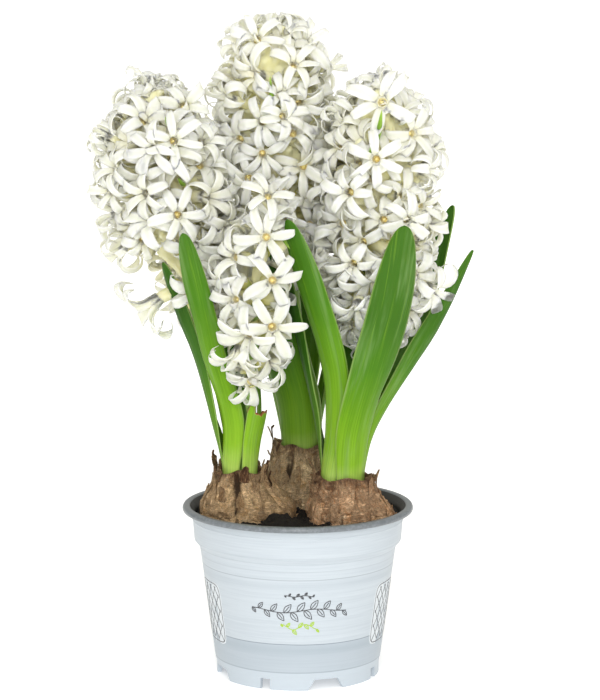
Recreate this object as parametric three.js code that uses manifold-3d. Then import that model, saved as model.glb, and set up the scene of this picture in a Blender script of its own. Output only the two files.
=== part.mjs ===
// Three white hyacinth bulbs in bloom, standing in peat in one round plastic nursery pot.
// Millimetres, +Z up. While it is built the pot's axis is X = Y = 0 and its feet stand on Z = 0;
// at the end the whole group is shifted so that the middle of its box is X = Y = 0.
// Angles round the pot and round a bulb's neck are in degrees from the front (-Y) towards the right (+X).
import * as THREE from 'three';
import { mergeVertices } from 'three/addons/utils/BufferGeometryUtils.js';
import Module from 'manifold-3d';

const wasm = await Module();
wasm.setup();

// Driving dimensions
const gap = 0.35;                 // clear space between pieces that touch
const potTop = 89;                // height of the pot's rim
const potRimRadius = 60;          // outer radius of the rolled rim
const potWall = 1.3;              // thickness of the pot's wall
const potFloor = 6;               // underside of the pot's floor, which is also the height of the feet
const footRadius = 42.3;          // outer radius of the foot ring
const soilTop = 84;               // level of the peat
const bulbRadius = 22.3;          // widest radius of a bulb
const cupDepth = 7;               // hollow in a bulb's neck that the leaves come out of
const rootDepth = cupDepth - gap; // how far below the neck's edge leaves and stems start
const leafThickness = 1.6;        // along the middle of a leaf
const leafEdge = 0.7;             // thickness of a leaf's margins
const tubeLength = 12;            // floret tube, from the core to the throat
const footDepth = 5;              // the tube's foot, sunk in the core
const throatRadius = 3.9;         // floret tube at the throat
const faceDepth = 16;             // from a floret's root to the outline of its head
const tepalWidth = 10;            // widest part of a tepal
const tepalReach = 22;            // tip of a tepal from the floret's axis
const tepalThickness = 1.4;       // along the middle of a tepal
const smallestFloret = 0.62;      // size of the smallest floret at a border, as a share of a full one
const goldenAngle = 137.5;        // turn from one floret to the next
const borderMargin = 14;          // florets of one head keep off another as far beyond its ends
const tipRoom = 2.5;              // how far a tepal may cross a border before it is cut
const blockSize = 600;            // a block larger than the whole plant

const radians = THREE.MathUtils.degToRad;
const lerp = THREE.MathUtils.lerp;
const smooth = THREE.MathUtils.smoothstep;

const colours = {
  pot: { color: 0xdbe5ef, roughness: 0.42, metalness: 0 },
  soil: { color: 0x1c1512, roughness: 0.95, metalness: 0 },
  bulb: { color: 0xa8835f, roughness: 0.8, metalness: 0 },
  leaf: { color: 0x4f9a1f, roughness: 0.45, metalness: 0 },
  stem: { color: 0x86b84a, roughness: 0.5, metalness: 0 },
  petal: { color: 0xf4f4ee, roughness: 0.5, metalness: 0 },
};

const group = new THREE.Group();

// Helpers

function vector(x, y, z) {
  return new THREE.Vector3(x, y, z);
}

function curve(points) {
  return new THREE.CatmullRomCurve3(points.map((p) => vector(...p)));
}

// The horizontal direction at an angle from the front.
function heading(angle) {
  return vector(Math.sin(radians(angle)), -Math.cos(radians(angle)), 0);
}

// A value read from a short list of numbers spread evenly over 0 to 1.
function along(list, t) {
  const place = t * (list.length - 1);
  const index = Math.min(Math.floor(place), list.length - 2);
  return lerp(list[index], list[index + 1], smooth(place - index, 0, 1) * 0.4 + (place - index) * 0.6);
}

// Repeatable random numbers between -1 and 1.
function drawer(seed) {
  let state = seed;
  return () => {
    state = (state * 1103515245 + 12345) % 2147483648;
    return (state / 2147483648) * 2 - 1;
  };
}

function solid(geometry) {
  const bare = geometry.index ? geometry.clone() : geometry;
  bare.deleteAttribute('normal');
  bare.deleteAttribute('uv');
  const merged = mergeVertices(bare, 1e-4);
  return new wasm.Manifold(new wasm.Mesh({
    numProp: 3,
    vertProperties: merged.attributes.position.array,
    triVerts: new Uint32Array(merged.index.array),
  }));
}

function geometryOf(manifold) {
  const mesh = manifold.getMesh();
  const geometry = new THREE.BufferGeometry();
  geometry.setAttribute('position', new THREE.BufferAttribute(mesh.vertProperties, 3));
  geometry.setIndex(new THREE.BufferAttribute(mesh.triVerts, 1));
  return geometry;
}

// The biggest body of a solid: scraps that a cut leaves loose are dropped.
function whole(manifold) {
  return manifold.decompose().reduce((a, b) => (a.volume() > b.volume() ? a : b));
}

function add(name, manifold, finish) {
  const geometry = geometryOf(manifold);
  geometry.computeVertexNormals();
  const mesh = new THREE.Mesh(geometry, new THREE.MeshStandardMaterial(finish));
  mesh.name = name;
  group.add(mesh);
}

// A closed tube of quads and end caps through rings of equal length; the last ring may be a point.
function loft(rings) {
  const count = rings[0].length;
  const positions = [];
  const index = [];
  rings.forEach((ring) => ring.forEach((p) => positions.push(p.x, p.y, p.z)));
  for (let r = 0; r + 1 < rings.length; r += 1) {
    for (let k = 0; k < count; k += 1) {
      const a = r * count + k;
      const b = r * count + ((k + 1) % count);
      index.push(a, b, b + count, a, b + count, a + count);
    }
  }
  const last = (rings.length - 1) * count;
  for (let k = 1; k + 1 < count; k += 1) {
    index.push(0, k + 1, k);
    index.push(last, last + k, last + k + 1);
  }
  const geometry = new THREE.BufferGeometry();
  geometry.setAttribute('position', new THREE.Float32BufferAttribute(positions, 3));
  geometry.setIndex(index);
  return geometry;
}

// Pot: a turned shell, with notches cut in its foot ring and drain holes in its floor.
function makePot() {
  const outside = [
    [0, potFloor], [footRadius - 2.6, potFloor], [footRadius - 2.2, 0], [footRadius, 0],
    [footRadius + 0.1, potFloor], [footRadius + 0.8, potFloor + 2.5], [50.5, 64], [51.2, 68], [53.8, 71],
    [54.9, 85.6], [59.7, 86.2], [potRimRadius, 87.4], [59.2, potTop],
  ];
  const inside = [
    [56.4, potTop], [55.7, 88], [54.9 - potWall, 84.6], [53.8 - potWall, 71.6], [51.2 - potWall, 68.8],
    [50.5 - potWall, 64.4], [footRadius + 0.7 - potWall, potFloor + 2.2], [0, potFloor + 2],
  ];
  const profile = [...outside, ...inside].map(([r, z]) => new THREE.Vector2(r, z));
  const turned = new THREE.LatheGeometry(profile, 30);
  turned.rotateX(Math.PI / 2);
  let pot = solid(turned);
  const ringMiddle = footRadius - 1;
  const notchTop = potFloor - 0.4;
  // Two notches repeat four times round the ring: a wide one with sloping sides, and a narrow slot.
  const cuts = [{ angle: 20.5, low: 19, high: 12.5 }, { angle: 66.7, low: 5, high: 5 }];
  for (let quarter = 0; quarter < 4; quarter += 1) {
    for (const { angle, low, high } of cuts) {
      const outline = new THREE.Shape([
        new THREE.Vector2(-low / 2, -1), new THREE.Vector2(low / 2, -1),
        new THREE.Vector2(high / 2, notchTop), new THREE.Vector2(-high / 2, notchTop),
      ]);
      const cutter = new THREE.ExtrudeGeometry(outline, { depth: 12, bevelEnabled: false });
      cutter.rotateX(Math.PI / 2);
      cutter.translate(0, 6 - ringMiddle, 0);
      cutter.rotateZ(radians(angle + quarter * 90));
      pot = pot.subtract(solid(cutter));
    }
  }
  for (let hole = 0; hole < 6; hole += 1) {
    const drain = new THREE.CylinderGeometry(3.5, 3.5, 8, 6);
    drain.rotateX(Math.PI / 2);
    drain.translate(0, -28, potFloor + 1);
    drain.rotateZ(radians(hole * 60));
    pot = pot.subtract(solid(drain));
  }
  return pot;
}

// Bulb: a turned onion shape with an uneven skin, leaning to its neck, which is open at the top for
// the leaves. grow makes it fatter, for the hole that it stands in.
function makeBulb({ foot, neck, seed, girth }, grow = 0) {
  const draw = drawer(seed);
  const waves = [2, 3, 5].map((count) => ({ count, phase: draw() * Math.PI, depth: 0.02 }));
  const radius = bulbRadius * girth;
  const height = neck[2] - foot[2];
  const neckRadius = neck[3] + 2.2;
  const profile = [
    [0, 0], [9, 0], [radius * 0.82, 0.2 * height], [radius, 0.42 * height], [radius * 0.97, 0.58 * height],
    [radius * 0.82, 0.73 * height], [neckRadius + 1.5, 0.87 * height], [neckRadius, height],
    [neck[3] + 0.8, height], [neck[3] + 0.5, height - cupDepth], [0, height - cupDepth],
  ].map(([r, z]) => new THREE.Vector2(r, z));
  const cupStart = profile.length - 3;
  if (grow > 0) {
    profile.splice(cupStart, 3, new THREE.Vector2(0, height + grow));
    profile[0].y -= grow;
    profile[1].y -= grow;
  }
  const sides = 18;
  const turned = new THREE.LatheGeometry(profile, sides);
  turned.rotateX(Math.PI / 2);
  const place = turned.attributes.position;
  for (let i = 0; i < place.count; i += 1) {
    const x = place.getX(i);
    const y = place.getY(i);
    const z = place.getZ(i);
    const turn = Math.atan2(y, x);
    const level = z / height;
    const r = Math.hypot(x, y);
    let swell = 1;
    waves.forEach((wave) => {
      swell += wave.depth * Math.sin(wave.count * turn + wave.phase) * (1 - Math.abs(2 * level - 1));
    });
    const wide = r < 0.001 ? 0 : (r * swell + grow) / r;
    const torn = level > 0.98 && level < 1.02 && r > 1 ? 1.6 * Math.sin(5 * turn + waves[0].phase) : 0;
    const lean = smooth(level, 0.3, 1);
    place.setXYZ(
      i,
      x * wide + lerp(foot[0], neck[0], lean),
      y * wide + lerp(foot[1], neck[1], lean),
      z + torn + foot[2],
    );
  }
  return solid(turned);
}

// Soil: peat that fills the pot to soilTop, a little lumpy.
function makeSoil() {
  const rings = [0, 18, 36, 50];
  const wall = [
    [53.7 - potWall - gap, soilTop - 1.5], [53.7 - potWall - gap, 71.7], [51.1 - potWall - gap, 68.6],
    [footRadius + 0.6 - potWall - gap, potFloor + 3], [0, potFloor + 2.3],
  ];
  const profile = [...wall.reverse(), ...rings.reverse().map((r) => [r, soilTop])]
    .map(([r, z]) => new THREE.Vector2(r, z));
  const turned = new THREE.LatheGeometry(profile, 18);
  turned.rotateX(Math.PI / 2);
  const place = turned.attributes.position;
  for (let i = 0; i < place.count; i += 1) {
    if (place.getZ(i) > soilTop - 0.5) {
      const x = place.getX(i);
      const y = place.getY(i);
      const lumps = 1.1 * Math.sin(x * 0.31 + 1) * Math.cos(y * 0.27);
      place.setZ(i, soilTop + lumps + 0.5 * Math.sin(x * 0.8 - y * 0.7));
    }
  }
  return solid(turned);
}

// The path of a leaf or stem: straight up in a bulb's neck, ring out from its middle, and then along path.
function growthLine({ bulb, angle, ring, path }) {
  const [x, y, z] = bulbs.find(({ name }) => name === bulb).neck;
  const root = heading(angle).multiplyScalar(ring).add(vector(x, y, z - rootDepth));
  return curve([root.toArray(), [root.x, root.y, z], ...path]);
}

// Leaf: a strap carried along a path. Its section is a piece of a gutter, fold[] degrees to each side,
// whose outer face looks towards faces[]; its width follows width[] and closes in a blunt tip.
function makeLeaf(leaf, grow = 0) {
  const { angle, width, fold, faces, cut } = leaf;
  const line = growthLine(leaf);
  const steps = 7;
  const across = 3;
  const rings = [];
  for (let s = 0; s <= steps; s += 1) {
    const t = 1 - (1 - s / steps) ** 1.35;
    const middle = line.getPointAt(t);
    const tangent = line.getTangentAt(t);
    const outward = heading(along([angle, ...faces], t));
    outward.addScaledVector(tangent, -outward.dot(tangent)).normalize();
    const side = vector(0, 0, 0).crossVectors(outward, tangent);
    const tip = cut ? 1 : Math.sqrt(Math.max(1 - t ** 12, 0.004));
    const spread = radians(along(fold, t));
    const wide = along(width, t) * tip + 2 * grow;
    const bend = wide / 2 / spread;
    const ends = s === 0 ? -grow : s === steps ? grow : 0;
    middle.addScaledVector(tangent, ends);
    const front = [];
    const back = [];
    for (let k = 0; k <= across; k += 1) {
      const v = (k / across) * 2 - 1;
      const turn = spread * v;
      const lean = side.clone().multiplyScalar(Math.sin(turn)).addScaledVector(outward, Math.cos(turn));
      const centre = middle.clone().addScaledVector(outward, -bend).addScaledVector(lean, bend);
      const body = lerp(leafThickness * Math.min(1, 0.45 + tip), leafEdge, v * v);
      front.push(centre.clone().addScaledVector(lean, body / 2 + grow));
      back.push(centre.clone().addScaledVector(lean, -body / 2 - grow));
    }
    rings.push([...front, ...back.reverse()]);
  }
  return solid(loftBlade(rings, across));
}

// A blade's rings joined so that both faces are split into triangles alike.
function loftBlade(rings, across) {
  const count = rings[0].length;
  const positions = [];
  const index = [];
  rings.forEach((ring) => ring.forEach((p) => positions.push(p.x, p.y, p.z)));
  const quad = (a, b, c, d, flip) => {
    if (flip) index.push(a, b, d, b, c, d);
    else index.push(a, b, c, a, c, d);
  };
  for (let r = 0; r + 1 < rings.length; r += 1) {
    for (let k = 0; k < count; k += 1) {
      const next = (k + 1) % count;
      quad(r * count + k, (r + 1) * count + k, (r + 1) * count + next, r * count + next, k > across);
    }
  }
  const last = (rings.length - 1) * count;
  for (let k = 0; k < across; k += 1) {
    const far = count - 1 - k;
    quad(k, k + 1, far - 1, far, false);
    quad(last + k, last + far, last + far - 1, last + k + 1, false);
  }
  const geometry = new THREE.BufferGeometry();
  geometry.setAttribute('position', new THREE.Float32BufferAttribute(positions, 3));
  geometry.setIndex(index);
  return geometry;
}

// Flower stem: a round rod along its path.
function makeStem(stem, grow = 0) {
  const round = new THREE.Shape();
  round.absarc(0, 0, stem.radius + grow, 0, 2 * Math.PI);
  const rod = new THREE.ExtrudeGeometry(round, {
    steps: 7, curveSegments: 4, bevelEnabled: false, extrudePath: growthLine(stem),
  });
  return solid(rod);
}

// One floret on +Z, a single closed skin: a tube that widens from its foot to six sides at the throat, and
// from each side a tepal of three-cornered section that spreads and curls back to a point. The second
// three tepals lie a little under the first.
function makeFloret(size, curl, draw) {
  const points = [];
  const index = [];
  const foot = 0;
  const throat = 1;
  points.push(vector(0, 0, -footDepth));
  for (let k = 0; k < 6; k += 1) {
    points.push(heading(k * 60 + 30).multiplyScalar(throatRadius).setZ(tubeLength));
  }
  for (let k = 1; k < 5; k += 1) index.push(throat, throat + k, throat + k + 1);
  for (let k = 0; k < 6; k += 1) {
    const out = heading(k * 60 + 60);
    const side = heading(k * 60 + 150);
    const under = (k % 2) * 1.1;
    const bend = curl + 0.8 * draw();
    const next = (k + 1) % 6;
    const shoulder = out.clone().multiplyScalar(tepalReach * 0.58).setZ(tubeLength + 2.6 - under);
    let left = throat + k;
    let right = throat + next;
    let back = points.length;
    points.push(out.clone().multiplyScalar(throatRadius * 0.8).setZ(tubeLength - 3.6));
    index.push(foot, back, left, foot, right, back);
    const first = points.length;
    points.push(shoulder.clone().addScaledVector(side, -tepalWidth / 2));
    points.push(shoulder.clone().addScaledVector(side, tepalWidth / 2));
    points.push(shoulder.clone().add(vector(-out.x, -out.y, -3).setLength(tepalThickness)));
    index.push(left, first, first + 1, left, first + 1, right);
    index.push(right, first + 1, first + 2, right, first + 2, back);
    index.push(first, left, back, first, back, first + 2);
    [left, right, back] = [first, first + 1, first + 2];
    const tip = points.length;
    points.push(out.clone().multiplyScalar(tepalReach).setZ(tubeLength - 3.5 - under - bend * 1.5));
    index.push(left, tip, right, right, tip, back, back, tip, left);
  }
  const geometry = new THREE.BufferGeometry().setFromPoints(points);
  geometry.setIndex(index);
  geometry.scale(size, size, size);
  return geometry;
}

// The plane between two heads, halfway by their radii where their axes come closest. It counts only as
// high and low as the other head reaches.
function border(one, other) {
  let a = one.line.getPoint(0.5);
  let b = other.line.getPoint(0.5);
  const nearer = (p) => (x, y) => (x.distanceTo(p) < y.distanceTo(p) ? x : y);
  const nearest = (line, p) => line.getPoints(24).reduce(nearer(p));
  for (let round = 0; round < 4; round += 1) {
    b = nearest(other.line, a);
    a = nearest(one.line, b);
  }
  const normal = b.clone().sub(a);
  const distance = normal.length() * (one.radius / (one.radius + other.radius));
  normal.normalize();
  const point = a.clone().addScaledVector(normal, distance - gap / 2);
  const low = other.axis[0][2] - borderMargin;
  const high = other.axis[other.axis.length - 1][2] + borderMargin;
  return { normal, point, low, high };
}

// Whether a point is on a head's own side of a border; tipRoom is how far a tepal may still cross it.
function onOurSide({ normal, point, low, high }, p) {
  return p.z < low || p.z > high || p.clone().sub(point).dot(normal) < tipRoom;
}

// Radius of a head's outline, u of the way up its axis: full in the middle and blunt at both ends.
function girth(head, u) {
  return head.radius * Math.sqrt(Math.max(1 - Math.abs(2 * u - 1) ** 2.6, 0));
}

// Where floret number i of a head stands and points: up the axis by equal steps, round by the golden
// angle, drooping at the bottom of the head and standing up at its top, with its face on the outline.
function floretPlace(head, i, draw) {
  const u = (i + 0.5) / head.florets;
  const latitude = Math.asin(2 * u - 1);
  const lift = latitude * (latitude < 0 ? 0.45 : 0.85) + radians(6 * draw());
  const turn = i * goldenAngle + head.turn + 8 * draw();
  const axis = head.line.getTangent(u);
  const flat = heading(turn);
  flat.addScaledVector(axis, -flat.dot(axis)).normalize();
  const out = flat.clone().multiplyScalar(Math.cos(lift)).addScaledVector(axis, Math.sin(lift));
  const depth = Math.max(girth(head, u), faceDepth * Math.cos(lift));
  const root = head.line.getPoint(u).addScaledVector(flat, depth).addScaledVector(out, -faceDepth);
  return { root, out, spin: 30 * draw() };
}

// Flower head: a slim core along the axis, with the florets fused to it, kept on its own side of the
// borders to its neighbours and clear of the leaves and stems.
function makeHead(head, borders, neighbours) {
  const draw = drawer(head.seed);
  const parts = [makeCore(head)];
  for (let i = 0; i < head.florets; i += 1) {
    const { root, out, spin } = floretPlace(head, i, draw);
    const curl = 1.2 + 1.2 * draw();
    let size = 1 + 0.07 * draw();
    const frame = new THREE.Matrix4().lookAt(out, vector(0, 0, 0), vector(0, 0, 1));
    const tips = [0, 60, 120, 180, 240, 300].map((tip) => heading(tip).multiplyScalar(tepalReach));
    // A floret that meets a border first sits deeper, then is made smaller, and is left out if neither helps.
    const inside = () => {
      const throat = root.clone().addScaledVector(out, tubeLength * size);
      const ends = tips.map((tip) => tip.clone().multiplyScalar(size).applyMatrix4(frame).add(throat));
      return [throat, ...ends].every((p) => borders.every((edge) => onOurSide(edge, p)));
    };
    for (let deeper = 0; deeper < 4 && !inside(); deeper += 1) root.addScaledVector(out, -2);
    while (size > smallestFloret && !inside()) size -= 0.08;
    if (inside()) {
      frame.multiply(new THREE.Matrix4().makeRotationZ(radians(spin))).setPosition(root);
      parts.push(solid(makeFloret(size, curl, draw).applyMatrix4(frame)));
    }
  }
  let bunch = wasm.Manifold.union(parts);
  borders.forEach(({ normal, point, low, high }) => {
    const beyond = new THREE.BoxGeometry(blockSize, blockSize, blockSize);
    beyond.translate(0, 0, blockSize / 2);
    beyond.applyMatrix4(new THREE.Matrix4().lookAt(normal, vector(0, 0, 0), vector(0, 0, 1)));
    beyond.translate(point.x, point.y, point.z);
    const slab = new THREE.BoxGeometry(blockSize, blockSize, high - low);
    slab.translate(0, 0, (high + low) / 2);
    bunch = bunch.subtract(solid(beyond).intersect(solid(slab)));
  });
  neighbours.forEach((neighbour) => {
    bunch = bunch.subtract(neighbour);
  });
  return whole(bunch);
}

// The core of a head: rings round its axis that keep a floret's depth inside its outline.
function makeCore(head) {
  const levels = [0.07, 0.2, 0.4, 0.6, 0.78, 0.9];
  const sides = 8;
  const rings = levels.map((u) => {
    const middle = head.line.getPoint(u);
    const r = Math.max(girth(head, u) - faceDepth + 1.5, 4.5);
    const corner = (k) => middle.clone().addScaledVector(heading((k * 360) / sides), r);
    return Array.from({ length: sides }, (_, k) => corner(k));
  });
  return solid(loft(rings));
}

// Where everything grows

const bulbs = [
  { name: 'bulb_left', foot: [-27.6, -9, 61], neck: [-29.8, -11, 110, 10.9], seed: 11, girth: 0.98 },
  { name: 'bulb_back', foot: [1, 25, 68], neck: [1.5, 23, 117, 12.2], seed: 23, girth: 0.95 },
  { name: 'bulb_right', foot: [27, -10.5, 59], neck: [23, -13, 107, 12.7], seed: 37, girth: 0.98 },
];

const stems = [
  {
    name: 'stem_left', bulb: 'bulb_left', angle: -128, ring: 4, radius: 3.6,
    path: [[-34.5, -8, 126], [-48, -1, 185], [-60, 1, 228]],
  },
  {
    name: 'stem_second', bulb: 'bulb_left', angle: 75, ring: 3.9, radius: 2.9,
    path: [[-24.5, -14, 135], [-22.5, -29, 172], [-20.5, -33, 200]],
  },
  {
    name: 'stem_back', bulb: 'bulb_back', angle: 0, ring: 0, radius: 4.2,
    path: [[0, 26, 160], [-7, 27, 215], [-13, 28, 262]],
  },
  {
    name: 'stem_right', bulb: 'bulb_right', angle: 135, ring: 1.4, radius: 4.2,
    path: [[28, -8, 130], [38, 0, 180], [42, 2, 228]],
  },
];

const leaves = [
  {
    name: 'leaf_left_front', bulb: 'bulb_left', angle: -45, ring: 9,
    faces: [-35, -20, -10], fold: [62, 50, 40, 30], width: [13, 17, 15, 14, 11.5],
    path: [[-35.4, -20.5, 136], [-44.4, -33, 175], [-49.5, -41, 201], [-57.3, -45, 236]],
  },
  {
    name: 'leaf_left_torn', bulb: 'bulb_left', angle: 46, ring: 9.2, cut: true,
    faces: [40, 40], fold: [54, 42, 38], width: [11.8, 12, 13.5],
    path: [[-22.3, -20.2, 125], [-19.5, -22, 141]],
  },
  {
    name: 'leaf_left_inner', bulb: 'bulb_left', angle: -25, ring: 3.6,
    faces: [-30, -35, -35], fold: [40, 40, 35, 30], width: [5, 9, 10, 8],
    path: [[-33, -16, 134], [-39, -19, 160], [-44.5, -21, 183]],
  },
  {
    name: 'leaf_left_slim', bulb: 'bulb_left', angle: 118, ring: 9,
    faces: [90, 80, 70], fold: [35, 35, 30, 25], width: [6, 8, 8, 5],
    path: [[-19.5, -8, 140], [-22, -2, 170], [-25, 6, 198]],
  },
  {
    name: 'leaf_left_rear', bulb: 'bulb_left', angle: 170, ring: 8.2,
    faces: [190, 200, 210], fold: [50, 40, 30, 25], width: [9, 13, 13, 10],
    path: [[-32, 8, 140], [-43, 26, 180], [-56, 40, 215]],
  },
  {
    name: 'leaf_left_back', bulb: 'bulb_left', angle: -116, ring: 9,
    faces: [-95, -62, -50], fold: [45, 40, 32, 30], width: [7, 11, 14, 14, 10],
    path: [[-44.3, -13.5, 138], [-51.5, -18, 168], [-60, -22.5, 193], [-68, -27, 219]],
  },
  {
    name: 'leaf_back_front', bulb: 'bulb_back', angle: 0, ring: 10.8,
    faces: [-6, -10, -10], fold: [70, 55, 40, 30], width: [26, 27, 25, 22, 15],
    path: [[0, 10, 140], [-6.5, 4, 168], [-13, 0, 200], [-17, -2, 226]],
  },
  {
    name: 'leaf_back_right', bulb: 'bulb_back', angle: 118, ring: 9.5,
    faces: [100, 90, 80], fold: [45, 45, 35, 30], width: [9, 16, 16, 12],
    path: [[15, 29, 145], [26, 40, 190], [34, 52, 240]],
  },
  {
    name: 'leaf_back_left', bulb: 'bulb_back', angle: -118, ring: 9.5,
    faces: [-105, -115, -130], fold: [45, 45, 35, 30], width: [9, 16, 16, 12],
    path: [[-13, 32, 145], [-24, 45, 185], [-31, 62, 228]],
  },
  {
    name: 'leaf_back_rear', bulb: 'bulb_back', angle: 180, ring: 10.6,
    faces: [180, 175, 170], fold: [45, 50, 40, 30], width: [9, 18, 18, 13],
    path: [[3, 42, 145], [5, 58, 195], [4, 68, 250]],
  },
  {
    name: 'leaf_right_left', bulb: 'bulb_right', angle: -54, ring: 10.8,
    faces: [-38, -25, -20], fold: [45, 42, 34, 28], width: [12, 17, 17, 15, 12],
    path: [[17.5, -22, 131], [18, -28.5, 160], [8.2, -37, 201], [-5.3, -46, 243]],
  },
  {
    name: 'leaf_right_front', bulb: 'bulb_right', angle: 30, ring: 10.8,
    faces: [28, 15, 8], fold: [48, 38, 30, 26], width: [17, 22, 24, 23, 17],
    path: [[29.6, -26, 130], [39, -38, 168], [48, -44.5, 204], [53.4, -47, 240]],
  },
  {
    name: 'leaf_right_outer', bulb: 'bulb_right', angle: 110, ring: 11,
    faces: [70, 45, 50], fold: [45, 46, 42, 36], width: [8, 15, 15, 12, 5],
    path: [[39, -9, 129], [59, -8, 165], [77.5, -6, 197], [89.6, -2, 222]],
  },
  {
    name: 'leaf_right_rear', bulb: 'bulb_right', angle: 165, ring: 9.7,
    faces: [150, 150, 145], fold: [45, 42, 36, 30], width: [9, 14, 13, 10],
    path: [[38, 12, 142], [66, 29, 190], [81, 33, 241]],
  },
  {
    name: 'leaf_right_inner', bulb: 'bulb_right', angle: -148, ring: 6.6,
    faces: [-160, -180, -185], fold: [35, 40, 34, 28], width: [6, 14, 14, 11],
    path: [[21, 3, 132], [28, 17, 165], [37, 47, 222]],
  },
  {
    name: 'leaf_right_shade', bulb: 'bulb_right', angle: -118, ring: 11,
    faces: [-85, -70, -60], fold: [38, 40, 32, 26], width: [7, 13, 13, 10],
    path: [[10, -7, 130], [2, -11, 170], [-10, -6, 225]],
  },
];

const heads = [
  {
    name: 'head_left', radius: 37, florets: 24, turn: 10, seed: 5,
    axis: [[-47, -1, 176], [-66, 1, 240], [-75, 2, 313]],
  },
  {
    name: 'head_back', radius: 35.5, florets: 22, turn: 40, seed: 17,
    axis: [[-5, 26, 208], [-14, 28, 272], [-16, 28, 344]],
  },
  {
    name: 'head_right', radius: 37.5, florets: 24, turn: 75, seed: 29,
    axis: [[37, 1, 172], [42, 2, 238], [44, 3, 313]],
  },
  {
    name: 'head_second', radius: 26, florets: 11, turn: 0, seed: 41,
    axis: [[-24, -29, 156], [-20.5, -33, 205], [-16, -34, 254]],
  },
];

// Assembly

const leafSolids = leaves.map((leaf) => ({ ...leaf, body: makeLeaf(leaf), room: makeLeaf(leaf, gap) }));
const stemSolids = stems.map((stem) => ({ ...stem, body: makeStem(stem), room: makeStem(stem, gap) }));
const growing = [...leafSolids, ...stemSolids];

add('pot', makePot(), colours.pot);

let soil = makeSoil();
bulbs.forEach((bulb) => {
  soil = soil.subtract(makeBulb(bulb, gap));
  add(bulb.name, makeBulb(bulb), colours.bulb);
});
add('soil', whole(soil), colours.soil);

leafSolids.forEach(({ name, body }) => add(name, body, colours.leaf));
stemSolids.forEach(({ name, body }) => add(name, body, colours.stem));

heads.forEach((head) => {
  head.line = curve(head.axis);
});
heads.forEach((head) => {
  const others = heads.filter((other) => other !== head);
  const borders = others.map((other) => border(head, other));
  add(head.name, makeHead(head, borders, growing.map(({ room }) => room)), colours.petal);
});

const box = new THREE.Box3().setFromObject(group);
const middle = box.getCenter(vector(0, 0, 0));
group.position.set(-middle.x, -middle.y, 0);

export default group;
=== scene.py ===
# Potted white hyacinths: three bulbs in bloom, in peat, in a round nursery pot with a plank print.
# Shapes are worked out in millimetres round the pot's axis, with its feet on Z = 0, and are moved into the
# frame when their mesh is made. Angles are in degrees from the front (-Y) towards the right (+X).
import math
import bpy
import numpy as np
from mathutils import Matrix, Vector


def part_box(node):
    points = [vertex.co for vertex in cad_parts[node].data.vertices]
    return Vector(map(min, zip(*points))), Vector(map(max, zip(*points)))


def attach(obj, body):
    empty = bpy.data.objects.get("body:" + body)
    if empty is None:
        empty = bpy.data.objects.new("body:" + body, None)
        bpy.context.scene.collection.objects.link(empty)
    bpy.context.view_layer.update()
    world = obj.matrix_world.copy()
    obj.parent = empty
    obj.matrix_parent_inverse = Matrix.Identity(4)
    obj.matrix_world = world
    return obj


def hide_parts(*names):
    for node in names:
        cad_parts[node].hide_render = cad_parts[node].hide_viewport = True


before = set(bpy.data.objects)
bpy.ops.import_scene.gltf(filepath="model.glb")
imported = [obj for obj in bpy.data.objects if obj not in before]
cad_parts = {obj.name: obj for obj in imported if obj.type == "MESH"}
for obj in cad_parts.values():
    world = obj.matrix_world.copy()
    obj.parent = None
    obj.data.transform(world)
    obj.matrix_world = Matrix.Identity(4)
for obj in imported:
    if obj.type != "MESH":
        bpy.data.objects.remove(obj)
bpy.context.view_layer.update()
potLow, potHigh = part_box("pot")
potAxis = np.array([(potLow[0] + potHigh[0]) / 2, (potLow[1] + potHigh[1]) / 2, 0.0])


# Points, faces and meshes

def heading(angle):                       # horizontal directions at angles from the front
    turn = np.radians(angle)
    return np.stack([np.sin(turn), -np.cos(turn), np.zeros_like(turn)], -1)


def unit(vectors):
    return vectors / np.linalg.norm(vectors, axis=-1, keepdims=True)


def dot(a, b):
    return np.sum(a * b, axis=-1, keepdims=True)


def turnFrom(angle, middle):              # degrees from a middle angle, between -180 and 180
    return (angle - middle + 180) % 360 - 180


def ease(x, low, high):                   # 0 below low, 1 above high, a smooth step between
    t = np.clip((x - low) / (high - low), 0, 1)
    return t * t * (3 - 2 * t)


def along(values, t):                     # a short list read at t from 0 to 1, partly smoothed
    place = np.asarray(t) * (len(values) - 1)
    index = np.minimum(place.astype(int), len(values) - 2)
    part = place - index
    part = 0.4 * ease(part, 0, 1) + 0.6 * part
    values = np.asarray(values, float)
    return values[index] * (1 - part) + values[index + 1] * part


# Soft noise from -1 to 1: random values at the corners of cubes of one size, blended by smooth steps.
def lumps(points, size, seed):
    place = np.asarray(points, float) / size
    cell = np.floor(place).astype(np.int64)
    part = place - cell
    part = part * part * (3 - 2 * part)
    total = np.zeros(place.shape[:-1])
    for corner in np.ndindex(2, 2, 2):
        x, y, z = np.moveaxis(cell + corner, -1, 0)
        mixed = (x * 73856093) ^ (y * 19349663) ^ (z * 83492791) ^ (seed * 2971215073)
        mixed = ((mixed & 0xffffffff) * 2654435761) & 0xffffffff
        mixed = ((mixed ^ (mixed >> 15)) * 2246822519) & 0xffffffff
        weight = np.prod(np.where(corner, part, 1 - part), axis=-1)
        total += weight * ((mixed >> 8) / 2 ** 23 - 1)
    return total


def layeredLumps(points, size, seed, layers=3):   # each layer half as large and half as strong
    return sum(lumps(points, size / 2 ** k, seed + k) / 2 ** k for k in range(layers))


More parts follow.
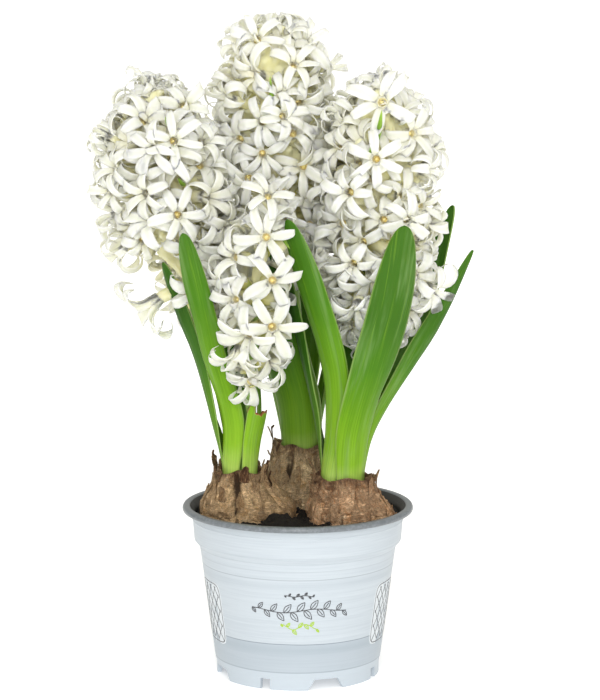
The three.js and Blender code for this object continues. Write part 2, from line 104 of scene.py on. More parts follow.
# A centripetal Catmull-Rom curve through the knots, read at places from 0 to 1 of its length.
def smoothPath(knots, places):
    p = np.asarray(knots, float)
    p = np.vstack([2 * p[0] - p[1], p, 2 * p[-1] - p[-2]])
    step = np.sqrt(np.linalg.norm(np.diff(p, axis=0), axis=1))
    t = np.linspace(0, 1, 40, endpoint=False)[:, None]
    stretches = []
    for i in range(1, len(p) - 2):
        before, here, after = step[i - 1], step[i], step[i + 1]
        start, end = p[i], p[i + 1]
        chord = (end - start) / here
        leave = here * ((start - p[i - 1]) / before - (end - p[i - 1]) / (before + here) + chord)
        arrive = here * (chord - (p[i + 2] - start) / (here + after) + (p[i + 2] - end) / after)
        square = 3 * (end - start) - 2 * leave - arrive
        cube = 2 * (start - end) + leave + arrive
        stretches.append(start + leave * t + square * t ** 2 + cube * t ** 3)
    line = np.vstack(stretches + [p[-2:-1]])
    length = np.concatenate([[0], np.cumsum(np.linalg.norm(np.diff(line, axis=0), axis=1))])
    slope = np.gradient(line, length, axis=0)
    where = np.asarray(places) * length[-1]
    position = np.stack([np.interp(where, length, line[:, k]) for k in range(3)], -1)
    tangent = np.stack([np.interp(where, length, slope[:, k]) for k in range(3)], -1)
    return position, unit(tangent)


# Quads of a grid of points numbered row by row; wrap joins the last column to the first.
def gridFaces(rows, cols, wrap=False):
    row, col = np.meshgrid(np.arange(rows - 1), np.arange(cols if wrap else cols - 1), indexing="ij")
    a = row * cols + col
    b = row * cols + (col + 1) % cols
    return np.stack([a, b, b + cols, a + cols], -1).reshape(-1, 4)


# The same faces for count copies of a shape of size points.
def copiesOf(blocks, count, size):
    shift = (np.arange(count) * size)[:, None, None]
    return [(block[None] + shift).reshape(-1, block.shape[1]) for block in blocks]


# Closed sheets from two grids of the same size, the front's points first: both faces and the edge between.
def sheetFaces(rows, cols, count=1):
    size = rows * cols
    front = gridFaces(rows, cols)
    ids = np.arange(size).reshape(rows, cols)
    rim = np.concatenate([ids[0, :-1], ids[:-1, -1], ids[-1, :0:-1], ids[:0:-1, 0]])
    ahead = np.roll(rim, -1)
    edge = np.stack([rim, rim + size, ahead + size, ahead], -1)
    return copiesOf([np.concatenate([front, front[:, ::-1] + size, edge])], count, 2 * size)


# Closed tubes from rows of rings, with a flat cap at each end.
def tubeFaces(rows, cols, count=1):
    ring = np.arange(cols)[None]
    blocks = [gridFaces(rows, cols, wrap=True), ring[:, ::-1], ring + (rows - 1) * cols]
    return copiesOf(blocks, count, rows * cols)


def volumeOf(points, blocks):             # signed: positive when the faces point outwards
    total = 0.0
    for block in blocks:
        for k in range(1, block.shape[1] - 1):
            a, b, c = points[block[:, 0]], points[block[:, k]], points[block[:, k + 1]]
            total += np.sum(a * np.cross(b, c)) / 6
    return total


# A mesh with its faces outwards, whose millimetres from the pot's axis become the frame's metres.
def meshOf(name, points, blocks):
    if volumeOf(points - points.mean(0), blocks) < 0:
        blocks = [block[:, ::-1] for block in blocks]
    mesh = bpy.data.meshes.new(name)
    mesh.from_pydata((points / 1000 + potAxis).tolist(), [], [f for block in blocks for f in block.tolist()])
    return mesh


def addToScene(name, data):
    thing = bpy.data.objects.new(name, data)
    bpy.context.scene.collection.objects.link(thing)
    return thing


# The piece is a mesh at the origin. values: what its materials read at each point; facets: the angle above
# which an edge stays sharp; zones: the number of each face's material.
def makePiece(name, points, blocks, materials, nodes=(), values=None, facets=None, zones=None):
    mesh = meshOf(name, np.asarray(points, float).reshape(-1, 3), blocks)
    mesh.polygons.foreach_set("use_smooth", np.ones(len(mesh.polygons), bool))
    for key, data in (values or {}).items():
        data = np.asarray(data, np.float32)
        kind, field = ("FLOAT", "value") if data.ndim == 1 else ("FLOAT_VECTOR", "vector")
        mesh.attributes.new(key, kind, "POINT").data.foreach_set(field, data.ravel())
    for material in materials:
        mesh.materials.append(material)
    if zones is not None:
        mesh.polygons.foreach_set("material_index", np.asarray(zones, np.int32))
    if facets is not None:
        mesh.set_sharp_from_angle(angle=math.radians(facets))
    mesh.update()
    piece = addToScene(name, mesh)
    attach(piece, "root")
    if nodes:
        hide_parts(*nodes)
    return piece


# Materials

class Nodes:                              # short hands for building a tree of shader nodes
    def __init__(self, tree):
        self.tree = tree

    def link(self, value, socket):        # a number, a colour or another node's output
        if isinstance(value, bpy.types.NodeSocket):
            self.tree.links.new(value, socket)
        else:
            socket.default_value = (*value, 1) if isinstance(value, tuple) else value

    def place(self):                      # millimetres from the pot's axis
        coords = self.tree.nodes.new("ShaderNodeTexCoord")
        mapping = self.tree.nodes.new("ShaderNodeMapping")
        mapping.inputs["Location"].default_value = [-1000 * value for value in potAxis]
        mapping.inputs["Scale"].default_value = (1000, 1000, 1000)
        self.tree.links.new(coords.outputs["Object"], mapping.inputs["Vector"])
        return mapping.outputs[0]

    def attribute(self, name, output="Fac"):
        node = self.tree.nodes.new("ShaderNodeAttribute")
        node.attribute_name = name
        return node.outputs[output]

    def stretched(self, vector, scale):
        node = self.tree.nodes.new("ShaderNodeVectorMath")
        node.operation = "MULTIPLY"
        self.link(vector, node.inputs[0])
        node.inputs[1].default_value = scale
        return node.outputs[0]

    def split(self, vector):
        node = self.tree.nodes.new("ShaderNodeSeparateXYZ")
        self.link(vector, node.inputs[0])
        return node.outputs

    def noise(self, vector, scale, detail=3, rough=0.55, twist=0):
        node = self.tree.nodes.new("ShaderNodeTexNoise")
        self.link(vector, node.inputs["Vector"])
        self.link(scale, node.inputs["Scale"])
        node.inputs["Detail"].default_value = detail
        node.inputs["Roughness"].default_value = rough
        node.inputs["Distortion"].default_value = twist
        return node.outputs["Fac"]

    def maths(self, operation, a, b=0.0, c=0.0):
        node = self.tree.nodes.new("ShaderNodeMath")
        node.operation = operation
        for value, socket in zip((a, b, c), node.inputs):
            self.link(value, socket)
        return node.outputs[0]

    def remap(self, value, low, high, to=(0, 1)):
        node = self.tree.nodes.new("ShaderNodeMapRange")
        node.interpolation_type = "SMOOTHSTEP"
        for key, number in zip(("From Min", "From Max", "To Min", "To Max"), (low, high, *to)):
            node.inputs[key].default_value = number
        self.link(value, node.inputs["Value"])
        return node.outputs[0]

    def ramp(self, value, stops):         # stops: place and colour
        node = self.tree.nodes.new("ShaderNodeValToRGB")
        points = node.color_ramp.elements
        while len(points) < len(stops):
            points.new(0.5)
        for point, (place, colour) in zip(points, stops):
            point.position = place
            point.color = (*colour, 1)
        self.link(value, node.inputs[0])
        return node.outputs[0]

    def mix(self, share, a, b):           # a where share is 0, b where it is 1
        node = self.tree.nodes.new("ShaderNodeMix")
        node.data_type = "RGBA"
        for key, value in (("Factor", share), ("A", a), ("B", b)):
            self.link(value, node.inputs[key])
        return node.outputs["Result"]

    def away(self, value, middle):        # how far a value is from a middle one, either way
        return self.maths("ABSOLUTE", self.maths("SUBTRACT", value, middle))

    def use(self, effect, **values):      # a shared effect, with this material's own values
        node = self.tree.nodes.new("ShaderNodeGroup")
        node.node_tree = effect.tree
        for key, value in values.items():
            self.link(value, node.inputs[key])
        return node.outputs


class Shader(Nodes):                      # one material
    def __init__(self, name):
        self.material = bpy.data.materials.new(name)
        self.material.use_nodes = True
        super().__init__(self.material.node_tree)
        self.tree.nodes.clear()
        output = self.tree.nodes.new("ShaderNodeOutputMaterial")
        self.surface = self.tree.nodes.new("ShaderNodeBsdfPrincipled")
        self.tree.links.new(self.surface.outputs[0], output.inputs[0])

    def bump(self, height, depth, strength=1.0):      # depth in millimetres
        node = self.tree.nodes.new("ShaderNodeBump")
        node.inputs["Strength"].default_value = strength
        node.inputs["Distance"].default_value = depth / 1000
        self.link(height, node.inputs["Height"])
        self.link(node.outputs[0], self.surface.inputs["Normal"])

    def finish(self, colour, roughness, **plain):     # plain: values set on the shader's own sockets
        self.link(colour, self.surface.inputs["Base Color"])
        self.link(roughness, self.surface.inputs["Roughness"])
        for key, value in plain.items():
            self.surface.inputs[key.replace("_", " ")].default_value = value
        return self.material


class Effect(Nodes):                      # a node group that several materials place with their own values
    def __init__(self, name, inputs, outputs):
        super().__init__(bpy.data.node_groups.new(name, "ShaderNodeTree"))
        for side, sockets in (("INPUT", inputs), ("OUTPUT", outputs)):
            for key, kind in sockets.items():
                self.tree.interface.new_socket(name=key, in_out=side, socket_type="NodeSocket" + kind)
        self.given = self.tree.nodes.new("NodeGroupInput").outputs
        self.results = self.tree.nodes.new("NodeGroupOutput").inputs


def wearEffect():                         # patches of a second tone that have a roughness of their own
    effect = Effect("patchyWear", {"Place": "Vector", "Scale": "Float", "Colour": "Color", "Worn": "Color",
                                   "Smooth": "Float", "Rough": "Float"},
                    {"Colour": "Color", "Roughness": "Float"})
    given = effect.given
    share = effect.remap(effect.noise(given["Place"], given["Scale"], 4, 0.65), 0.38, 0.72)
    effect.link(effect.mix(share, given["Colour"], given["Worn"]), effect.results["Colour"])
    change = effect.maths("SUBTRACT", given["Rough"], given["Smooth"])
    effect.link(effect.maths("MULTIPLY_ADD", share, change, given["Smooth"]), effect.results["Roughness"])
    return effect


def fibreEffect():                        # long fibres: where they are dark and where pale, and their height
    effect = Effect("fineFibres", {"Place": "Vector", "Scale": "Float"},
                    {"Dark": "Float", "Pale": "Float", "Height": "Float"})
    fibres = effect.noise(effect.given["Place"], effect.given["Scale"], 4, 0.65)
    effect.link(effect.remap(fibres, 0.36, 0.56, (1, 0)), effect.results["Dark"])
    effect.link(effect.remap(fibres, 0.56, 0.72), effect.results["Pale"])
    effect.link(fibres, effect.results["Height"])
    return effect


patchyWear = wearEffect()
fineFibres = fibreEffect()


# Where everything grows, as in the frame's solids

# swell: at what angle a bulb is fuller than round, and by how much.
bulbs = {
    "left": {"foot": (-27.6, -9, 61), "neck": (-29.8, -11, 110), "opening": 10.9, "girth": 0.98, "seed": 11,
             "swell": (78, 5.5)},
    "back": {"foot": (1, 25, 68), "neck": (1.5, 23, 117), "opening": 12.2, "girth": 0.95, "seed": 23,
             "swell": (-60, 0.6)},
    "right": {"foot": (27, -10.5, 59), "neck": (23, -13, 107), "opening": 12.7, "girth": 0.98, "seed": 37,
              "swell": (84, 3.2)},
}
rootDepth = 6.65                          # leaves and stalks start this far below a neck's edge


def growthKnots(bulb, angle, ring, path):
    x, y, z = bulbs[bulb]["neck"]
    side = heading(angle) * ring
    return [(x + side[0], y + side[1], z - rootDepth), (x + side[0], y + side[1], z), *path]


# Pot

pot = {
    "top": 89, "rimRadius": 60, "wall": 1.3, "floorHeight": 6, "footRadius": 42.3, "columns": 192,
    "wallLow": (43.1, 8.5), "wallHigh": (50.5, 64),       # the printed wall's ends: radius and height
    "ledgeRadii": (51.2, 53.8, 54.9),                     # above the wall: shoulder, step and collar
    "wideNotch": {"angle": 20.5, "low": 19, "high": 12.5}, "slotNotch": {"angle": 66.7, "low": 5, "high": 5},
    "notchTop": 5.6, "drainHoles": 6, "drainRing": 28, "drainRadius": 3.5, "drainSides": 24,
    "plankJoints": ((59.6, 0.5), (25.0, 0.85)),           # height and strength
    "jointShade": 3.4, "ledgeShadeLines": (71.3, 67.8, 63.9), "printEnd": 9.6,
    "colour": (0.525, 0.575, 0.625), "darkGrain": (0.43, 0.48, 0.535), "paleGrain": (0.59, 0.635, 0.68),
    "shade": (0.31, 0.365, 0.42), "seam": (0.17, 0.205, 0.25), "bareColour": (0.50, 0.555, 0.61),
    "rimColour": (0.14, 0.155, 0.17), "wornRim": (0.21, 0.23, 0.25),
    "insideColour": (0.03, 0.03, 0.026), "wornInside": (0.06, 0.055, 0.048),
}
cornerSteps = (0, 0.33, 0.67, 1)          # places on the short curve that rounds a corner


def wallRadius(z):                        # the printed wall is a straight cone
    (low, bottom), (high, top) = pot["wallLow"], pot["wallHigh"]
    return low + (z - bottom) * (high - low) / (top - bottom)


# Each corner of a profile becomes a short curve between points cut back along its two sides.
def rounded(profile):
    result = [profile[0][:2]]
    for before, corner, after in zip(profile[:-2], profile[1:-1], profile[2:]):
        a, b, c = (np.array(p[:2], float) for p in (before, corner, after))
        cut = min(corner[2], 0.45 * np.linalg.norm(a - b), 0.45 * np.linalg.norm(c - b))
        first, last = b + cut * (a - b) / np.linalg.norm(a - b), b + cut * (c - b) / np.linalg.norm(c - b)
        for t in cornerSteps:
            result.append((1 - t) ** 2 * first + 2 * t * (1 - t) * b + t * t * last)
    result.append(profile[-1][:2])
    return np.array(result)


def potMaterials():
    shader = Shader("plankPrintedPlastic")
    place = shader.place()
    height = shader.split(place)[2]
    streaks = shader.use(fineFibres, Place=shader.stretched(place, (0.02, 0.02, 0.9)), Scale=1.0)
    fine = shader.use(fineFibres, Place=shader.stretched(place, (0.05, 0.05, 3.0)), Scale=1.0)
    wobble = shader.noise(shader.stretched(place, (0.03, 0.03, 0.03)), 1.0, 2)
    level = shader.maths("MULTIPLY_ADD", wobble, 0.8, shader.maths("SUBTRACT", height, 0.4))
    colour = shader.mix(shader.maths("MULTIPLY", streaks["Dark"], 0.4), pot["colour"], pot["darkGrain"])
    colour = shader.mix(shader.maths("MULTIPLY", streaks["Pale"], 0.4), colour, pot["paleGrain"])
    colour = shader.mix(shader.maths("MULTIPLY", fine["Dark"], 0.22), colour, pot["darkGrain"])
    lowest = pot["plankJoints"][-1][0]                   # the plank under this joint is darker
    low = shader.remap(level, 6, lowest, (0.36, 0.5))
    low = shader.maths("MULTIPLY", low, shader.remap(level, lowest - 0.1, lowest + 0.1, (1, 0)))
    colour = shader.mix(low, colour, pot["shade"])
    for joint, strength in pot["plankJoints"]:
        seam = shader.away(level, joint)
        below = shader.away(level, joint - pot["jointShade"])
        shadow = shader.remap(below, 0.2, pot["jointShade"], (0.4 * strength, 0))
        colour = shader.mix(shadow, colour, pot["shade"])
        colour = shader.mix(shader.remap(seam, 0.03, 0.36, (strength, 0)), colour, pot["seam"])
    # painted shade: thin dark lines along the ledges where the profile steps in
    for ledge in pot["ledgeShadeLines"]:
        edge = shader.remap(shader.away(height, ledge), 0.05, 0.5, (0.16, 0))
        colour = shader.mix(edge, colour, pot["seam"])
    plain = shader.remap(height, pot["printEnd"] - 0.1, pot["printEnd"] + 0.1, (1, 0))
    colour = shader.mix(plain, colour, pot["bareColour"])
    # a dark line along the print's lower edge: partly the print's border, partly painted shade of the ledge
    # at the foot
    edge = shader.remap(shader.away(height, pot["printEnd"]), 0.05, 0.45, (0.5, 0))
    colour = shader.mix(edge, colour, pot["seam"])
    shader.bump(fine["Height"], 0.05, 0.4)
    roughness = shader.remap(streaks["Height"], 0.3, 0.7, (0.36, 0.46))
    printed = shader.finish(colour, roughness, Specular_IOR_Level=0.45)

    shader = Shader("rimPlastic")
    wear = shader.use(patchyWear, Place=shader.place(), Scale=0.6, Colour=pot["rimColour"],
                      Worn=pot["wornRim"], Smooth=0.3, Rough=0.42)
    rim = shader.finish(wear["Colour"], wear["Roughness"])

    shader = Shader("insidePlastic")
    wear = shader.use(patchyWear, Place=shader.place(), Scale=0.8, Colour=pot["insideColour"],
                      Worn=pot["wornInside"], Smooth=0.45, Rough=0.7)
    inside = shader.finish(wear["Colour"], wear["Roughness"])
    return [printed, rim, inside]


# The notches of the foot ring: the angle of each, and how many degrees its lower and upper corners are off.
def notches():
    ring = pot["footRadius"] - 1
    for spec in (pot["wideNotch"], pot["slotNotch"]):
        high = math.degrees(spec["high"] / 2 / ring)
        low = max(math.degrees(spec["low"] / 2 / ring), high + 0.12)
        for quarter in range(4):
            yield spec["angle"] + 90 * quarter, low, high


def notchShare(angles):                   # 1 in a notch, 0 on a foot, sloping between
    share = np.zeros_like(angles)
    for middle, low, high in notches():
        away = np.abs(turnFrom(angles, middle))
        share = np.maximum(share, np.clip((low - away) / (low - high), 0, 1))
    return share


# A profile turned about the axis. Below the notch tops the foot ring's height follows notchShare. The corners
# are given as radius, height and how far each is rounded.
def makePot():
    wall, floor, foot = pot["wall"], pot["floorHeight"], pot["footRadius"]
    top, rim, (high, wallTop) = pot["top"], pot["rimRadius"], pot["wallHigh"]
    shoulder, step, collar = pot["ledgeRadii"]
    outside = [
        (foot - 2.6, floor, 0.8), (foot - 2.3, 0, 0.35), (foot, 0, 0.45), (foot + 0.1, floor, 0.3),
        (*pot["wallLow"], 1.2), (high, wallTop, 0.8), (shoulder, 68, 0.4), (step, 71, 0.4),
        (54.6, 81, 0.6), (collar, 81.6, 0.5), (54.7, 82.2, 0.5), (collar, 85.6, 0.8),
    ]
    lip = [(59.7, 86.2, 0.5), (rim, 87.4, 0.7), (59.2, top, 0.8), (56.4, top, 0.8)]
    inside = [
        (55.7, 88, 0.8), (collar - wall, 84.6, 1), (step - wall, 71.6, 1.2), (shoulder - wall, 68.8, 1.2),
        (high - wall, wallTop + 0.4, 2), (foot + 0.7 - wall, floor + 2.2, 1.5),
    ]
    line = rounded([(4, floor, 0), *outside, *lip, *inside, (4, floor + 2, 0)])
    corners = [(middle + side * away) % 360 for middle, *edges in notches() for away in edges
               for side in (-1, 1)]
    angles = np.linspace(0, 360, pot["columns"], endpoint=False)
    angles = np.unique(np.round(np.concatenate([angles, corners]), 3))
    r, z = line[None, :, 0], line[None, :, 1]
    z = np.maximum(z, np.where(z < pot["notchTop"], pot["notchTop"] * notchShare(angles)[:, None], 0))
    points = heading(angles)[:, None] * r[..., None]
    points[..., 2] = z
    rows, cols = points.shape[:2]
    side = gridFaces(rows + 1, cols) % (rows * cols)      # the last row joins the first
    under = (np.arange(rows) * cols)[None, ::-1]
    above = (np.arange(rows) * cols + cols - 1)[None]
    lipStart = len(cornerSteps) * len(outside) - 1        # faces along the profile: printed, rim, inside
    lipEnd = lipStart + len(cornerSteps) * len(lip) + 2
    zone = np.digitize(np.arange(cols - 1), (lipStart, lipEnd))
    zones = np.concatenate([np.tile(zone, rows), [0], [2]])
    body = makePiece("potBody", points, [side, under, above], potMaterials(), ["pot"],
                     facets=35, zones=zones)
    cutDrainHoles(body)


def cutDrainHoles(body):                  # round holes through the floor
    count, cols, floor = pot["drainHoles"], pot["drainSides"], pot["floorHeight"]
    ring = heading(np.linspace(0, 360, cols, endpoint=False)) * pot["drainRadius"]
    ends = np.array([[[0, 0, floor - 2.0]], [[0, 0, floor + 4.0]]])
    centres = heading(np.arange(count) * 360 / count) * pot["drainRing"]
    points = (centres[:, None, None] + ring + ends).reshape(-1, 3)
    drills = addToScene("drill", meshOf("drill", points, tubeFaces(len(ends), cols, count)))
    cut = body.modifiers.new("drain", "BOOLEAN")
    cut.operation = "DIFFERENCE"
    cut.object = drills
    cut.solver = "EXACT"
    shape = bpy.data.meshes.new_from_object(body.evaluated_get(bpy.context.evaluated_depsgraph_get()))
    body.modifiers.clear()
    body.data = shape
    shape.name = body.name
    bpy.data.objects.remove(drills)


# Printed marks on the wall: an upright panel of plain trellis at each side, and in the middle a garland
# over a twig

prints = {
    "proud": 0.09, "sunk": 0.12, "line": 0.42, "rows": 14,
    "panels": {"Left": -71, "Right": 71}, "panelHeight": 36, "panelSize": (13, 16.5), "blunt": 0.28,
    "panelProud": 0.04, "panelRings": (0.02, 0.35, 0.7, 0.95, 1), "panelColumns": 72,
    "edgeInset": 0.9, "edgeParts": 8,
    "trellis": {"spacing": 5.2, "slope": 1.5, "inset": 2.2, "reach": 40},
    "leafWay": 52, "leafWidth": 0.24, "leafShrink": 0.45, "veinLength": 0.75,
    "garland": {"middle": 1, "height": 43.2, "length": 50, "leaf": 6.2, "leaves": 15, "wave": 1.0},
    "border": {"middle": 1, "height": 51.2, "length": 15, "leaf": 2.2, "leaves": 8, "wave": 0.4},
    "twig": {"middle": 1, "height": 34.6, "length": 19, "leaf": 3.4, "leaves": 7, "wave": 1.5},
    "ink": (0.045, 0.05, 0.06), "lime": (0.38, 0.58, 0.015), "paper": (0.66, 0.70, 0.74),
}


def onWall(flat, middle, lift):           # flat: millimetres to the right of the angle middle, and height
    x, z = flat[..., 0], flat[..., 1]
    points = heading(middle + np.degrees(x / wallRadius(z))) * (wallRadius(z) + lift)[..., None]
    points[..., 2] = z
    return points


# Lines as thin closed ribbons on the wall. Each has the same number of points.
def ribbons(lines, middle, half):
    lines = np.array(lines, float)
    way = unit(np.gradient(lines, axis=1))
    aside = np.stack([-way[..., 1], way[..., 0]], -1) * half
    edges = np.stack([lines - aside, lines + aside], 2)
    lift = np.full(edges.shape[:-1], prints["proud"])
    points = np.stack([onWall(edges, middle, lift), onWall(edges, middle, -prints["sunk"] + 0 * lift)], 1)
    return points, sheetFaces(lines.shape[1], 2, len(lines))


# The outline of a leaf from its foot along a direction in degrees: two bows that meet at foot and tip, and
# a vein. A bow stands off the middle line by its width times the sine of the way along.
def leafLines(foot, way, length, width):
    t = np.linspace(0, 1, prints["rows"])
    ahead = np.array([np.cos(np.radians(way)), np.sin(np.radians(way))])
    across = np.array([-ahead[1], ahead[0]])
    line = foot + ahead * (t * length)[:, None]
    bow = across * (width * np.sin(np.pi * t ** 0.85))[:, None]
    vein = foot + ahead * (t * length * prints["veinLength"])[:, None]
    return [line - bow, line + bow, vein]


def garlandLines(spec):                   # a wavy stem with leaves to both sides in turn
    def stem(s):                          # s: the share of the length from the middle
        return np.stack([s * spec["length"], spec["height"] + spec["wave"] * np.sin(s * 3 * np.pi)], -1)
    lines = [stem(np.linspace(-0.5, 0.5, prints["rows"]))]
    for k, place in enumerate(np.linspace(-0.5, 0.46, spec["leaves"])):
        size = spec["leaf"] * (1 - prints["leafShrink"] * abs(2 * place) ** 2)
        way = prints["leafWay"] if k % 2 else -prints["leafWay"]
        lines += leafLines(stem(place), way, size, size * prints["leafWidth"])
    return lines


# The edge of a panel, an oblong with blunt corners: x and z are its half sides times the sine and cosine of
# the turn, both to a small power; t goes once round.
def panelEdge(t, inset=0.0):
    x, z = np.sin(2 * np.pi * t), np.cos(2 * np.pi * t)
    blunt = np.stack([np.sign(way) * np.abs(way) ** prints["blunt"] for way in (x, z)], -1)
    return blunt * (np.array(prints["panelSize"]) - inset) + np.array([0, prints["panelHeight"]])


def trellisLines():                       # two sets of slanting lines that end at the panel's inner edge
    spacing, slope, inset, reach = (prints["trellis"][key] for key in ("spacing", "slope", "inset", "reach"))
    wide, high = np.array(prints["panelSize"]) - inset
    lines = []
    for start in np.arange(-reach, reach, spacing) + 0.5 * spacing:
        x = np.linspace(max(-wide, start - high / slope), min(wide, start + high / slope), prints["rows"])
        if x[-1] - x[0] < 1:
            continue
        for side in (-1, 1):
            lines.append(np.stack([side * x, prints["panelHeight"] + slope * (x - start)], -1))
    return lines


def inkMaterial(name, colour):
    shader = Shader(name)
    pale = tuple(0.85 * value + 0.12 for value in colour)
    wear = shader.use(patchyWear, Place=shader.place(), Scale=1.2, Colour=colour, Worn=pale,
                      Smooth=0.4, Rough=0.5)
    return shader.finish(wear["Colour"], wear["Roughness"])


def makePrints():
    ink, lime = inkMaterial("greyInk", prints["ink"]), inkMaterial("limeInk", prints["lime"])
    paper = inkMaterial("whiteInk", prints["paper"])
    half, count = prints["line"] / 2, prints["edgeParts"]
    step, cols = prints["rows"] - 1, prints["panelColumns"]
    edge = panelEdge(np.linspace(0, 1, count * step + 1), prints["edgeInset"])
    edges = [edge[k * step:(k + 1) * step + 1] for k in range(count)]
    around = panelEdge(np.linspace(0, 1, cols, endpoint=False))
    centre = np.array([0, prints["panelHeight"]])
    rings = np.array(prints["panelRings"])                # from the middle out, then back behind the face
    flat = centre + (around - centre) * np.concatenate([rings, rings[::-1]])[:, None, None]
    lift = np.repeat([prints["panelProud"], -prints["sunk"]], len(rings))[:, None] + np.zeros(cols)
    for name, middle in prints["panels"].items():
        makePiece("panel" + name, onWall(flat, middle, lift), tubeFaces(len(lift), cols), [paper])
        points, faces = ribbons([*edges, *trellisLines()], middle, half)
        makePiece("trellis" + name, points, faces, [ink])
    for name, material in (("garland", ink), ("border", ink), ("twig", lime)):
        points, faces = ribbons(garlandLines(prints[name]), prints[name]["middle"], half)
        makePiece(name, points, faces, [material])


# Peat

peat = {
    "level": 84, "radius": 52.2, "rows": 56, "columns": 168, "mound": (-9, -38, 6.5), "moundSpread": (13, 7),
    "wall": ((0.5, 8.4), (40, 8.6), (41, 9.2), (48.6, 64), (49.4, 68.4), (51.9, 71.8), (52.3, 80)),
    "crumbs": 620, "crumbSize": (0.5, 1.6), "crumbReach": 50.5, "crumbSides": 6, "seed": 7,
    "crumbRings": ((0.5, -0.75), (1.0, 0), (0.45, 0.75)),     # radius and height
    "colour": (0.012, 0.009, 0.007), "dark": (0.004, 0.003, 0.0025), "pale": (0.04, 0.028, 0.02),
    "fleck": (0.09, 0.06, 0.035),
}


def peatHeight(x, y):                     # the solid's gentle lumps with finer crumbs on them
    flat = np.stack([x, y, 0 * x], -1)
    broad = 1.1 * np.sin(x * 0.31 + 1) * np.cos(y * 0.27) + 0.5 * np.sin(x * 0.8 - y * 0.7)
    (east, south, rise), (wide, deep) = peat["mound"], peat["moundSpread"]
    broad = broad + rise * np.exp(-((x - east) / wide) ** 2 - ((y - south) / deep) ** 2)
    return peat["level"] + broad + 1.3 * layeredLumps(flat, 5.0, 3) + 0.7 * layeredLumps(flat, 1.8, 9, 2)


def peatMaterial():
    shader = Shader("darkPeat")
    place = shader.place()
    grains = shader.noise(place, 1.1, 5, 0.75)
    flecks = shader.noise(place, 0.35, 3, 0.7)
    colour = shader.ramp(grains, [(0.3, peat["dark"]), (0.55, peat["colour"]), (0.75, peat["pale"])])
    colour = shader.mix(shader.remap(flecks, 0.62, 0.75, (0, 0.5)), colour, peat["fleck"])
    shader.bump(grains, 0.8, 0.9)
    return shader.finish(colour, shader.remap(grains, 0.3, 0.7, (0.7, 0.95)), Specular_IOR_Level=0.25)


# A closed plug: rings from the floor up the wall and over the lumpy top to the middle.
def makePeat(material):
    wall = np.array(peat["wall"])
    r = np.concatenate([wall[:, 0], np.linspace(peat["radius"], 0.5, peat["rows"])])
    points = heading(np.linspace(0, 360, peat["columns"], endpoint=False))[None] * r[:, None, None]
    points[:len(wall), :, 2] = wall[:, 1][:, None]
    surface = points[len(wall):]
    surface[..., 2] = peatHeight(surface[..., 0], surface[..., 1])
    makePiece("peatBed", points, tubeFaces(len(r), peat["columns"]), [material], ["soil"])


# Each crumb is three rings, made uneven.
def makeCrumbs(material):
    random = np.random.default_rng(peat["seed"])
    count, sides, profile = peat["crumbs"], peat["crumbSides"], np.array(peat["crumbRings"])
    turn = random.uniform(0, 360, count)
    centre = heading(turn) * (peat["crumbReach"] * np.sqrt(random.uniform(0, 1, count)))[:, None]
    centre[:, 2] = peatHeight(centre[:, 0], centre[:, 1]) + random.uniform(-0.3, 0.4, count)
    ring = heading(np.arange(sides) * 360 / sides)[None] * profile[:, 0][:, None, None]
    ring[..., 2] = profile[:, 1][:, None]
    size = random.uniform(*peat["crumbSize"], count)[:, None, None, None]
    uneven = 1 + 0.3 * random.uniform(-1, 1, (count, len(profile), sides, 1))
    crumbs = centre[:, None, None] + ring[None] * uneven * size
    makePiece("peatCrumbs", crumbs, tubeFaces(len(profile), sides, count), [material])


# Bulbs

bulbSkin = {
    "radius": 22.3, "rows": 100, "columns": 168, "dents": 1.6, "ridges": 0.4, "creases": 1.7, "layers": 0.8,
    "grain": 0.14,
    "lip": ((0.3, -0.9), (3.0, -1.2), (7.4, -1.4)),       # rings inside the neck: how deep, and off the skin
    "blot": (0.17, 0.09, 0.04), "bleached": (0.98, 0.76, 0.50), "fibre": (0.15, 0.072, 0.034),
    # deep: the colour of the painted shade in creases, clefts and inside the neck
    "crack": (0.09, 0.042, 0.02), "speck": (0.06, 0.028, 0.014), "deep": (0.028, 0.014, 0.008),
    "dried": (0.16, 0.075, 0.036), "driedFibre": (0.03, 0.014, 0.008),
}
# A bulb's colours where its skin is light, in between and warm.
skinColours = {
    "left": ("tanBulbSkin", (0.97, 0.67, 0.37), (0.74, 0.46, 0.22), (0.84, 0.53, 0.26)),
    "back": ("paleBulbSkin", (0.97, 0.72, 0.42), (0.84, 0.55, 0.27), (0.92, 0.60, 0.30)),
    "right": ("redBulbSkin", (0.97, 0.62, 0.36), (0.80, 0.42, 0.20), (0.93, 0.44, 0.20)),
}
# Heights, and how far from the pot's axis a bulb or flake may reach there.
potInside = ((60, 48.0), (68.8, 49.2), (71.6, 51.8), (84.6, 52.9), (88, 54.2), (92, 70.0), (130, 200.0))
# Clefts where the skin has split: at what angle, how far that drifts towards the neck, how wide (degrees) and
# deep they are, and from what share of the bulb's height.
clefts = {
    "left": ((-9, 0, 11, 4.6, 0.42), (58, -8, 6, 1.8, 0.4), (-64, 6, 5, 1.5, 0.45), (150, 0, 7, 2.0, 0.4)),
    "back": ((-22, 4, 7, 2.2, 0.45), (40, -6, 6, 1.6, 0.5), (170, 0, 7, 2.0, 0.4)),
    "right": ((-34, 14, 5, 1.8, 0.4), (12, 18, 5, 1.6, 0.35), (52, 12, 6, 1.8, 0.5), (-150, 0, 7, 2.0, 0.4)),
}
